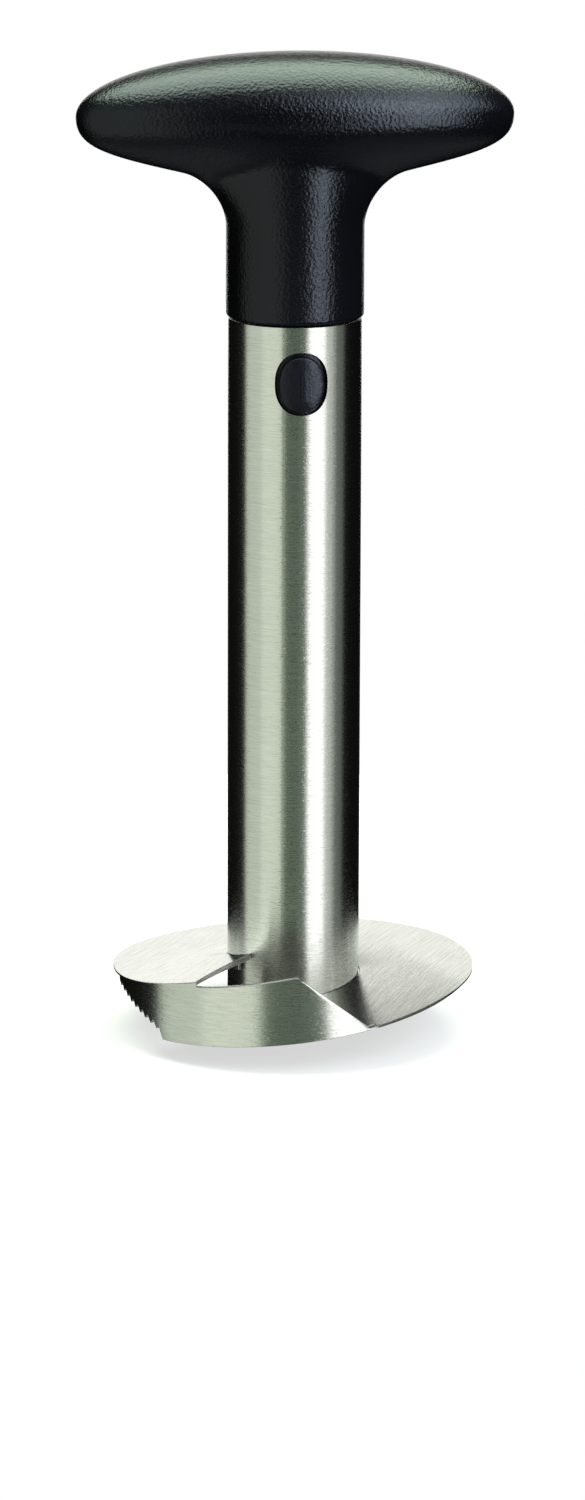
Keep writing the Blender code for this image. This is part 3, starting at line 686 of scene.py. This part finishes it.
def make_blade(steel):
    """The sheet stands upright, and its outer edges are eased, more along the falling front edge."""
    shape = bmesh.new()
    sections = []
    for angle, foot, top in blade_sections():
        fallen_share = (angle - BLADE_PEAK_ANGLE) / (BLADE_END_ANGLE - BLADE_PEAK_ANGLE)
        slope_share = blend(fallen_share * EDGE_GROWTH_PARTS)
        limit = (top - foot) / EDGE_LIMIT_PARTS
        ease = BLADE_EDGE_WIDTH + (BLADE_SLOPE_EDGE_WIDTH - BLADE_EDGE_WIDTH) * slope_share
        ease = min(ease, limit)
        low_ease = min(BLADE_EDGE_WIDTH, limit)
        corners = (
            (DISC_RADIUS - BLADE_EDGE_DEPTH / 2, foot),
            (DISC_RADIUS, foot + low_ease),
            (DISC_RADIUS, top - ease),
            (DISC_RADIUS - BLADE_EDGE_DEPTH, top),
            (BLADE_BORE, top),
            (BLADE_BORE, foot),
        )
        sections.append([at_angle(radius, angle, height) for radius, height in corners])
    add_loft(shape, sections)
    blade = link("blade_skin", make_mesh("blade_skin", shape))
    shade(blade)
    return dress(blade, steel, "cutter", "side_blade")


def make_seam(steel):
    """The weld between the blade and the rim of the disc's upper end, ground flush."""
    sections = []
    trail = TRAIL_RIM_ANGLE - 360
    steps = math.ceil((trail - BLADE_START_ANGLE) / BLADE_STEP_ANGLE)
    for k in range(steps + 1):
        angle = BLADE_START_ANGLE + (trail - BLADE_START_ANGLE) * k / steps
        low = blade_top(angle) - SEAM_LAP
        high = disc_height(angle + 360, DISC_RADIUS) + SHEET / 2 - RIM_ROUND
        corners = (
            (DISC_RADIUS - SEAM_LAP, low),
            (DISC_RADIUS + SEAM_PROUD, low),
            (DISC_RADIUS + SEAM_PROUD, high),
            (DISC_RADIUS - SEAM_LAP, high),
        )
        sections.append([at_angle(radius, angle, height) for radius, height in corners])
    shape = bmesh.new()
    add_loft(shape, sections)
    seam = link("rim_weld", make_mesh("rim_weld", shape))
    shade(seam)
    return dress(seam, steel, "cutter")


def make_slit_lip(steel):
    """The cut end of the sheet over the slit, left matt and drawn down by the punch towards the hub."""
    hub = at_angle(HUB_RADIUS, TRAIL_HUB_ANGLE, 0.0)
    rim = at_angle(DISC_RADIUS, TRAIL_RIM_ANGLE, 0.0)
    forward = Vector((hub.y - rim.y, rim.x - hub.x, 0.0)).normalized()
    sections = []
    for k in range(LIP_STEPS + 1):
        share = k / LIP_STEPS
        angle = TRAIL_HUB_ANGLE + (TRAIL_RIM_ANGLE - TRAIL_HUB_ANGLE) * share
        radius = HUB_RADIUS + (DISC_RADIUS - HUB_RADIUS) * share
        middle = disc_height(angle, radius)
        high = middle + SHEET / 2
        low = middle - SHEET / 2 - LIP_DROP * (1 - share)
        place = at_angle(radius, angle, 0.0)
        corners = (
            (LIP_PROUD, low),
            (LIP_PROUD, high - LIP_PROUD),
            (0.0, high),
            (-LIP_LAP, high),
            (-LIP_LAP, low),
        )
        sections.append([place + forward * out + Vector((0.0, 0.0, height)) for out, height in corners])
    shape = bmesh.new()
    add_loft(shape, sections)
    lip = link("slit_lip", make_mesh("slit_lip", shape))
    shade(lip)
    return dress(lip, steel, "cutter")


# Buttons


def wrapped_ring(half_width, half_height, radius, squareness=2.0):
    """An oval laid on a cylinder round the tube's axis, on the side that faces -Y."""
    ring = []
    for k in range(BUTTON_POINTS):
        x, z = oval(half_width, half_height, squareness, 2 * math.pi * k / BUTTON_POINTS)
        ring.append(Vector((x, -math.sqrt(radius * radius - x * x), z)))
    return ring


def flat_ring(radius, depth):
    turns = [2 * math.pi * k / BUTTON_POINTS for k in range(BUTTON_POINTS)]
    return [Vector((radius * math.cos(turn), -depth, radius * math.sin(turn))) for turn in turns]


def button_ring(share, radius):
    return wrapped_ring(BUTTON_HALF_WIDTH * share, BUTTON_HALF_HEIGHT * share, radius, BUTTON_SQUARENESS)


def face_rings():
    """The face: a rounded bevel all round, then two shallow slopes that meet in an upright ridge."""
    rings = []
    edge = TUBE_RADIUS + BUTTON_EDGE
    shoulder = TUBE_RADIUS + BUTTON_CROWN - BUTTON_ROOF
    for k in range(BUTTON_BEVEL_RINGS + 1):
        turn = math.pi / 2 * k / BUTTON_BEVEL_RINGS
        share = BUTTON_BEVEL_SHARE + (BUTTON_FACE_SHARE - BUTTON_BEVEL_SHARE) * math.cos(turn)
        rings.append(button_ring(share, edge + (shoulder - edge) * math.sin(turn)))
    for k in range(1, BUTTON_ROOF_RINGS):
        share = BUTTON_BEVEL_SHARE * (1 - k / BUTTON_ROOF_RINGS)
        ring = button_ring(share, shoulder)
        for point in ring:
            side_share = abs(point.x) / (BUTTON_HALF_WIDTH * BUTTON_BEVEL_SHARE)
            end_share = abs(point.z) / (BUTTON_HALF_HEIGHT * BUTTON_BEVEL_SHARE)
            point.y -= BUTTON_ROOF * (1 - max(side_share, end_share ** BUTTON_END_EASE))
        rings.append(ring)
    return rings


def crease_tool(side):
    """A wedge that cuts one fine upright line beside the ridge of a button's face."""
    ridge = TUBE_RADIUS + BUTTON_CROWN
    middle = side * CREASE_OFFSET
    reach = BUTTON_HALF_HEIGHT * BUTTON_BEVEL_SHARE
    corners = (
        (middle, CREASE_DEPTH - ridge),
        (middle - CREASE_WIDTH, -CREASE_DEPTH - ridge),
        (middle + CREASE_WIDTH, -CREASE_DEPTH - ridge),
    )
    shape = bmesh.new()
    add_loft(shape, [[Vector((x, y, height)) for x, y in corners] for height in (-reach, reach)])
    return shape


def make_buttons(plastic):
    post_end = BUTTON_TRAVEL + SEAT_GAP
    rings = [
        flat_ring(POST_RADIUS - POST_CHAMFER, post_end),
        flat_ring(POST_RADIUS, post_end + POST_CHAMFER),
        flat_ring(POST_RADIUS, SPRING_SEAT),
        flat_ring(SPRING_SEAT_RADIUS, SPRING_SEAT),
        wrapped_ring(SPRING_SEAT_RADIUS, SPRING_SEAT_RADIUS, FLANGE_BACK),
        wrapped_ring(FLANGE_HALF_WIDTH, FLANGE_HALF_HEIGHT, FLANGE_BACK, BUTTON_SQUARENESS),
        wrapped_ring(FLANGE_HALF_WIDTH, FLANGE_HALF_HEIGHT, FLANGE_FRONT, BUTTON_SQUARENESS),
        button_ring(BUTTON_FACE_SHARE, FLANGE_FRONT),
    ]
    buttons = []
    for name, turn in (("front_button", 0.0), ("rear_button", math.pi)):
        shape = bmesh.new()
        add_loft(shape, rings + face_rings())
        button = link(name + "_skin", make_mesh(name, shape))
        for side in (-1, 1):
            carve(button, crease_tool(side))
        button.location.z = WINDOW_CENTRE
        button.rotation_euler.z = turn
        shade(button)
        buttons.append(dress(button, plastic, name, name))
    return buttons


def half_spring(solid, side):
    """The spring on one side of the tube's axis, closed where it is cut."""
    shape = bmesh.new()
    shape.from_mesh(solid.data)
    shape.transform(solid.matrix_world)
    bmesh.ops.remove_doubles(shape, verts=shape.verts, dist=SPRING_CUT / 2)
    cut = bmesh.ops.bisect_plane(
        shape,
        geom=shape.verts[:] + shape.edges[:] + shape.faces[:],
        plane_co=(0, side * SPRING_CUT, 0),
        plane_no=(0, side, 0),
        clear_inner=True,
    )
    edges = [item for item in cut["geom_cut"] if isinstance(item, bmesh.types.BMEdge)]
    bmesh.ops.edgeloop_fill(shape, edges=edges)
    return shape


def make_spring(solid, steel):
    """Two halves that meet on the tube's axis."""
    halves = []
    for side_name, side in (("front", -1), ("rear", 1)):
        mesh = make_mesh("button_spring", half_spring(solid, side))
        half = link(f"button_spring_{side_name}_half", mesh)
        half.data.shade_smooth()
        dress(half, steel, "cutter", "button_spring")
        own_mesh(half)
        halves.append(half)
    return halves


# Handle shells, with heights counted from the lower rim


def end_curve_point(start, share):
    sweep = math.radians(FLARE_SWEEP)
    slope = FLARE_HEIGHT / FLARE_WIDTH * math.tan(sweep) ** (2 / FLARE_SQUARENESS - 2)
    tip = Vector((BAR_HALF_LENGTH, TIP_HEIGHT))
    reach = END_REACH_SHARE * (tip.x - start.x)
    toward = start + Vector((reach, reach * slope))
    below = tip - Vector((0.0, END_DROP))
    rest_share = 1 - share
    near = rest_share ** 3 * start + 3 * rest_share ** 2 * share * toward
    return near + 3 * rest_share * share ** 2 * below + share ** 3 * tip


def underside_profile():
    """(half length, height) from the foot of the flare to the tip of the bar."""
    centre = STEM_RADIUS + FLARE_WIDTH
    points = []
    for k in range(FLARE_STEPS + 1):
        turn = math.radians(FLARE_SWEEP * k / FLARE_STEPS)
        across, up = oval(FLARE_WIDTH, FLARE_HEIGHT, FLARE_SQUARENESS, turn)
        points.append(Vector((centre - across, FLARE_BASE + up)))
    start = points[-1]
    points += [end_curve_point(start, k / END_STEPS) for k in range(1, END_STEPS + 1)]
    return points


def power_sum(first, second, sign=1):
    """A smooth greater of two sizes, or with sign -1 the size that this leaves beside the second."""
    return max(0.0, first ** WING_BLEND + sign * second ** WING_BLEND) ** (1 / WING_BLEND)


def belly_depth(height):
    """Half depth over the stem. Just below the tips the bar's front turns back into the stem's."""
    below_share = min(1.0, max(0.0, (TIP_HEIGHT - height) / BELLY_DROP))
    return STEM_RADIUS + (BAR_HALF_DEPTH - STEM_RADIUS) * blend(1 - below_share)


def wing_depth(height):
    """Half depth of the bar's wings, which turn under below its tips."""
    below_share = min(1.0, max(0.0, (TIP_HEIGHT - height) / WING_SECTION_DEPTH))
    kept_share = (1 - below_share * below_share) ** WING_EASE
    return WING_ROOT_DEPTH + (BAR_HALF_DEPTH - WING_ROOT_DEPTH) * kept_share


def winged_ring(half_length, half_depth, wing, height, count):
    """A level ring round the stem and both wings, which run into each other smoothly."""
    stem = power_sum(half_depth, wing, -1)
    reach = power_sum(half_length, stem, -1)
    ring = []
    for k in range(count):
        turn = 2 * math.pi * k / count
        way = Vector((half_length * math.cos(turn), half_depth * math.sin(turn))).normalized()
        radius = power_sum(1 / math.hypot(way.x / reach, way.y / wing), stem)
        ring.append(Vector((*(radius * way), height)))
    return ring


def grip_rings(count):
    """Level rings up the handle: rounded lower corner, stem, flare, underside and crown."""
    rings = []
    for k in range(CORNER_STEPS + 1):
        turn = math.pi / 2 * k / CORNER_STEPS
        radius = STEM_RADIUS - STEM_CORNER * (1 - math.sin(turn))
        rings.append(circle(radius, STEM_CORNER * (1 - math.cos(turn)), count))
    for half_length, height in underside_profile():
        rings.append(winged_ring(half_length, belly_depth(height), wing_depth(height), height, count))
    for k in range(1, CROWN_STEPS):
        turn = math.pi / 2 * k / CROWN_STEPS
        half_length = BAR_HALF_LENGTH * math.cos(turn)
        half_depth = BAR_HALF_DEPTH * math.cos(turn)
        height = TIP_HEIGHT + CROWN_HEIGHT * math.sin(turn)
        rings.append(winged_ring(half_length, half_depth, half_depth, height, count))
    return rings


def half_shell(side):
    count = 2 * GRIP_POINTS
    shape = bmesh.new()
    rows = []
    for ring in grip_rings(count):
        half = ring[GRIP_POINTS:] + ring[:1]
        row = []
        for point in half:
            depth = max(-point.y, 0.0)
            row.append(shape.verts.new((point.x, side * depth, point.z)))
        rows.append(row)
    apex = shape.verts.new((0.0, 0.0, GRIP_HEIGHT))
    for low, high in zip(rows, rows[1:]):
        for k in range(GRIP_POINTS):
            shape.faces.new((low[k], low[k + 1], high[k + 1], high[k]))
    for k in range(GRIP_POINTS):
        shape.faces.new((rows[-1][k], rows[-1][k + 1], apex))
    shape.faces.new(rows[0])
    shape.faces.new([row[0] for row in rows] + [apex] + [row[-1] for row in reversed(rows)])
    return shape


def pocket_shape():
    flat = HEAD_FLAT + SEAT_GAP
    shape = bmesh.new()
    add_loft(shape, [
        circle(NECK_RADIUS + SEAT_GAP, -CUT_OVERRUN, POCKET_POINTS),
        circle(NECK_RADIUS + SEAT_GAP, LIP_THICKNESS, POCKET_POINTS),
        circle(HEAD_RADIUS + SEAT_GAP, LIP_THICKNESS, POCKET_POINTS, flat),
        circle(HEAD_RADIUS + SEAT_GAP, POCKET_TOP, POCKET_POINTS, flat),
    ])
    return shape


def make_grip(plastic):
    shells = []
    for side, name in ((-1, "grip_front_shell"), (1, "grip_rear_shell")):
        shell = link(name + "_skin", make_mesh(name, half_shell(side)))
        carve(shell, pocket_shape())
        shell.location.z = COLLAR_HEIGHT
        round_edges(shell, PARTING_ROUND, PARTING_STEPS)
        shade(shell)
        shells.append(dress(shell, plastic, "handle", name))
    return shells


# Materials


class Nodes:
    """A short way to place and join the nodes of one material."""

    def __init__(self, name):
        self.material = bpy.data.materials.new(name)
        self.material.use_nodes = True
        self.tree = self.material.node_tree
        self.shader = self.tree.nodes["Principled BSDF"]

    def add(self, kind, **settings):
        node = self.tree.nodes.new("ShaderNode" + kind)
        for key, value in settings.items():
            setattr(node, key, value)
        return node

    def join(self, source, target):
        self.tree.links.new(source, target)

    def feed(self, **sources):
        """Joins outputs to the shader's sockets."""
        for key, source in sources.items():
            self.join(source, self.shader.inputs[key.replace("_", " ")])

    def set(self, **values):
        """Sets constants on the shader's sockets."""
        for key, value in values.items():
            self.shader.inputs[key.replace("_", " ")].default_value = value

    def coordinates(self, scale=(METRE, METRE, METRE), source="Object"):
        place = self.add("TexCoord")
        mapping = self.add("Mapping")
        mapping.inputs["Scale"].default_value = scale
        self.join(place.outputs[source], mapping.inputs["Vector"])
        return mapping.outputs["Vector"]

    def noise(self, vector, scale=METRE, detail=NOISE_DETAIL, roughness=NOISE_ROUGHNESS):
        node = self.add("TexNoise")
        node.inputs["Scale"].default_value = scale
        node.inputs["Detail"].default_value = detail
        node.inputs["Roughness"].default_value = roughness
        self.join(vector, node.inputs["Vector"])
        return node.outputs["Fac"]

    def cells(self, vector, scale):
        node = self.add("TexVoronoi", feature="SMOOTH_F1")
        node.inputs["Scale"].default_value = scale
        node.inputs["Smoothness"].default_value = GRAIN_SMOOTHNESS
        self.join(vector, node.inputs["Vector"])
        return node.outputs["Distance"]

    def spread(self, value, low, high, start=NOISE_LOW, end=NOISE_HIGH):
        """Turns values from start to end into ones from low to high, and holds those beyond."""
        node = self.add("MapRange")
        node.inputs["From Min"].default_value = start
        node.inputs["From Max"].default_value = end
        node.inputs["To Min"].default_value = low
        node.inputs["To Max"].default_value = high
        self.join(value, node.inputs["Value"])
        return node.outputs["Result"]

    def math(self, operation, first, second):
        node = self.add("Math", operation=operation)
        for socket, value in zip(node.inputs, (first, second)):
            if isinstance(value, (int, float)):
                socket.default_value = value
            else:
                self.join(value, socket)
        return node.outputs["Value"]

    def mix_colours(self, factor, first, second):
        node = self.add("Mix", data_type="RGBA")
        self.join(factor, node.inputs["Factor"])
        node.inputs["A"].default_value = (*first, 1.0)
        node.inputs["B"].default_value = (*second, 1.0)
        return node.outputs["Result"]

    def bump(self, height, strength, distance, below=None):
        node = self.add("Bump")
        node.inputs["Strength"].default_value = strength
        node.inputs["Distance"].default_value = distance
        self.join(height, node.inputs["Height"])
        if below is not None:
            self.join(below, node.inputs["Normal"])
        return node.outputs["Normal"]

    def tangent(self, map_name):
        """The direction of the brushing: along a map's first axis or, without a map, round the tube."""
        if map_name:
            return self.add("Tangent", direction_type="UV_MAP", uv_map=map_name).outputs["Tangent"]
        return self.add("Tangent", direction_type="RADIAL", axis="Z").outputs["Tangent"]


def how_many(*lengths):
    """How many marks of these lengths fit in a metre along each axis."""
    return tuple(1 / length for length in lengths)


def brushed_steel(name, strokes, scratches, dark, light, roughness, relief, map_name=None):
    nodes = Nodes(name)
    nodes.set(Metallic=1.0, Anisotropic=ANISOTROPY, Anisotropic_Rotation=QUARTER_TURN_SHARE)
    source = "UV" if map_name else "Object"
    fine = nodes.noise(nodes.coordinates(strokes, source), METRE, STROKE_DETAIL, STROKE_ROUGHNESS)
    deep = nodes.noise(nodes.coordinates(scratches, source), METRE, SCRATCH_DETAIL, SCRATCH_ROUGHNESS)
    marks = nodes.spread(deep, 0.0, 1.0, SCRATCH_LOW, SCRATCH_HIGH)
    swing = roughness * ROUGHNESS_SWING_SHARE
    blurred = nodes.math("MULTIPLY", marks, roughness / SCRATCH_BLUR_PARTS)
    blurred = nodes.math("ADD", nodes.spread(fine, roughness + swing, roughness - swing), blurred)
    scratched = nodes.bump(marks, SCRATCH_RELIEF, SCRATCH_DEPTH)
    nodes.feed(
        Base_Color=nodes.mix_colours(nodes.spread(fine, 0.0, 1.0), dark, light),
        Roughness=blurred,
        Normal=nodes.bump(fine, relief, STROKE_DEPTH, scratched),
        Tangent=nodes.tangent(map_name),
    )
    return nodes.material


def steel_brushed_round(name, **finish):
    """The tube and the side blade are brushed level, round the tube's axis."""
    strokes = how_many(STROKE_LENGTH, STROKE_LENGTH, STROKE_WIDTH)
    scratches = how_many(SCRATCH_LENGTH, SCRATCH_LENGTH, SCRATCH_WIDTH)
    return brushed_steel(name, strokes, scratches, **finish)


def tube_steel():
    return steel_brushed_round("tube_steel", **TUBE_STEEL)


def blade_steel():
    return steel_brushed_round("blade_steel", **BLADE_STEEL)


def disc_steel():
    """Brushed straight across the sheet, along the first axis of its flat map, which has no third."""
    strokes = how_many(SHEET_STROKE_LENGTH, SHEET_STROKE_WIDTH, METRE)
    scratches = how_many(SCRATCH_LENGTH, SCRATCH_WIDTH, METRE)
    return brushed_steel("disc_steel", strokes, scratches, **DISC_STEEL, map_name="brushing")


def plain_steel(name, marks, dark, light, smooth, rough, relief):
    nodes = Nodes(name)
    nodes.set(Metallic=1.0)
    drawn = nodes.noise(nodes.coordinates(marks))
    nodes.feed(
        Base_Color=nodes.mix_colours(nodes.spread(drawn, 0.0, 1.0), dark, light),
        Roughness=nodes.spread(drawn, smooth, rough),
        Normal=nodes.bump(drawn, relief, SCRATCH_DEPTH),
    )
    return nodes.material


def cut_steel():
    """The sheared end of the sheet: dull, with upright drag marks."""
    return plain_steel("cut_steel", how_many(STROKE_WIDTH, STROKE_WIDTH, STROKE_LENGTH), **CUT_STEEL)


def spring_steel():
    return plain_steel("spring_steel", how_many(GRAIN_SIZE, GRAIN_SIZE, GRAIN_SIZE), **SPRING_STEEL)


def grained_plastic(name, dark, light, roughness, relief):
    """Spark-eroded plastic: rounded grains with finer ones on them and a soft drift over them."""
    nodes = Nodes(name)
    nodes.set(Specular_IOR_Level=PLASTIC_SHINE, Specular_Tint=(*PLASTIC_TINT, 1.0))
    place = nodes.coordinates()
    coarse = nodes.cells(place, 1 / GRAIN_SIZE)
    fine = nodes.noise(place, 1 / FINE_GRAIN_SIZE)
    drift = nodes.noise(place, 1 / DRIFT_SIZE, NOISE_DETAIL, DRIFT_NOISE_ROUGHNESS)
    coarse_part = nodes.math("MULTIPLY", coarse, CELL_SHARE)
    fine_part = nodes.math("MULTIPLY", fine, FINE_GRAIN_SHARE)
    height = nodes.math("ADD", coarse_part, fine_part)
    wear = nodes.spread(drift, -DRIFT_ROUGHNESS, DRIFT_ROUGHNESS)
    dull = nodes.spread(fine, roughness - GRAIN_ROUGHNESS, roughness + GRAIN_ROUGHNESS)
    nodes.feed(
        Base_Color=nodes.mix_colours(nodes.spread(drift, 0.0, 1.0), dark, light),
        Roughness=nodes.math("ADD", wear, dull),
        Normal=nodes.bump(height, relief, GRAIN_SIZE / GRAIN_DEPTH_PARTS),
    )
    return nodes.material


def grip_plastic():
    return grained_plastic("grip_plastic", **GRIP_PLASTIC)


def button_plastic():
    return grained_plastic("button_plastic", **BUTTON_PLASTIC)


def plug_plastic():
    return grained_plastic("plug_plastic", **PLUG_PLASTIC)


# Studio


def make_camera():
    data = bpy.data.cameras.new("camera")
    data.sensor_width = CAMERA_SENSOR
    data.lens = CAMERA_LENS
    camera = link("camera", data)
    turn = math.radians(CAMERA_AZIMUTH)
    camera.location = (-CAMERA_DISTANCE * math.sin(turn), -CAMERA_DISTANCE * math.cos(turn), CAMERA_HEIGHT)
    angles = (90 - CAMERA_PITCH, CAMERA_ROLL, -CAMERA_AZIMUTH - CAMERA_YAW)
    camera.rotation_euler = [math.radians(angle) for angle in angles]
    bpy.context.scene.camera = camera


def add_panel(name, bearing, distance, height, width, tall, radiance, colour):
    data = bpy.data.lights.new(name, "AREA")
    data.shape = "RECTANGLE"
    data.size = width
    data.size_y = tall
    data.color = colour
    data.energy = radiance * math.pi * width * tall
    panel = link(name, data)
    panel.location = at_angle(distance, bearing - 90 - CAMERA_AZIMUTH, height)
    aim = Vector((0.0, 0.0, AIM_HEIGHT)) - panel.location
    panel.rotation_euler = aim.to_track_quat("-Z", "Y").to_euler()
    panel.visible_camera = False
    return panel


def add_panels(panels):
    return [add_panel(name, **sizes) for name, sizes in panels.items()]


def light_only(panels, pieces, name):
    """Keeps panels off all other pieces, as flags beside the lamps would."""
    lit = bpy.data.collections.new(name)
    for piece in pieces:
        lit.objects.link(piece)
    for panel in panels:
        panel.light_linking.receiver_collection = lit


def make_lights(steel_pieces, plastic_pieces, disc, floor):
    """All share some panels. Others light only steel and floor, plastic and floor, or the disc."""
    add_panels(SHARED_PANELS)
    light_only(add_panels(STEEL_PANELS), steel_pieces + [floor], "lit_steel")
    ring = {f"ring_panel_{bearing}": {"bearing": bearing, **RING_PANEL} for bearing in RING_BEARINGS}
    light_only(add_panels(ring), [disc], "lit_disc")
    light_only(add_panels(PLASTIC_PANELS), plastic_pieces + [floor], "lit_plastic")


def add_background(tree, strength):
    node = tree.nodes.new("ShaderNodeBackground")
    node.inputs["Color"].default_value = (*WHITE, 1.0)
    node.inputs["Strength"].default_value = strength
    return node.outputs[0]


def make_world():
    """A nearly dark room that the camera sees as white."""
    world = bpy.data.worlds.new("studio")
    bpy.context.scene.world = world
    world.use_nodes = True
    tree = world.node_tree
    tree.nodes.clear()
    path = tree.nodes.new("ShaderNodeLightPath")
    mix = tree.nodes.new("ShaderNodeMixShader")
    output = tree.nodes.new("ShaderNodeOutputWorld")
    tree.links.new(path.outputs["Is Camera Ray"], mix.inputs[0])
    tree.links.new(add_background(tree, ROOM_GLOW), mix.inputs[1])
    tree.links.new(add_background(tree, BACKDROP_GLOW), mix.inputs[2])
    tree.links.new(mix.outputs[0], output.inputs["Surface"])


def floor_paper():
    """Grey paper with a glow that only the camera sees, so that it is white beside its shadow."""
    material = bpy.data.materials.new("floor_paper")
    material.use_nodes = True
    tree = material.node_tree
    tree.nodes.clear()
    paper = tree.nodes.new("ShaderNodeBsdfDiffuse")
    paper.inputs["Color"].default_value = (*FLOOR_COLOUR, 1.0)
    glow = tree.nodes.new("ShaderNodeEmission")
    glow.inputs["Color"].default_value = (*WHITE, 1.0)
    path = tree.nodes.new("ShaderNodeLightPath")
    strength = tree.nodes.new("ShaderNodeMath")
    strength.operation = "MULTIPLY"
    strength.inputs[1].default_value = FLOOR_GLOW
    both = tree.nodes.new("ShaderNodeAddShader")
    output = tree.nodes.new("ShaderNodeOutputMaterial")
    tree.links.new(path.outputs["Is Camera Ray"], strength.inputs[0])
    tree.links.new(strength.outputs[0], glow.inputs["Strength"])
    tree.links.new(paper.outputs[0], both.inputs[0])
    tree.links.new(glow.outputs[0], both.inputs[1])
    tree.links.new(both.outputs[0], output.inputs["Surface"])
    return material


def make_floor():
    shape = bmesh.new()
    bmesh.ops.create_circle(shape, cap_ends=True, radius=FLOOR_RADIUS, segments=FLOOR_POINTS)
    floor = link("floor", make_mesh("floor", shape))
    floor.data.materials.append(floor_paper())
    floor.visible_glossy = False
    floor.visible_shadow = False
    return floor


def paint_plug(plug, plastic):
    """The plug is shown as its solid."""
    plug.data.materials.clear()
    plug.data.materials.append(plastic)
    return plug


def main():
    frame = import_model()
    make_camera()
    make_world()
    floor = make_floor()
    blade = blade_steel()
    disc = make_disc(disc_steel())
    steel_pieces = [
        make_tube(tube_steel()),
        make_blade(blade),
        make_seam(blade),
        make_slit_lip(cut_steel()),
        *make_tabs(blade),
    ]
    plastic_pieces = make_buttons(button_plastic()) + make_grip(grip_plastic())
    steel_pieces += make_spring(frame["nodes"]["button_spring"], spring_steel())
    steel_pieces.append(paint_plug(frame["nodes"]["locking_plug"], plug_plastic()))
    make_lights(steel_pieces, plastic_pieces, disc, floor)
    bpy.context.scene.view_settings.view_transform = "Standard"


main()
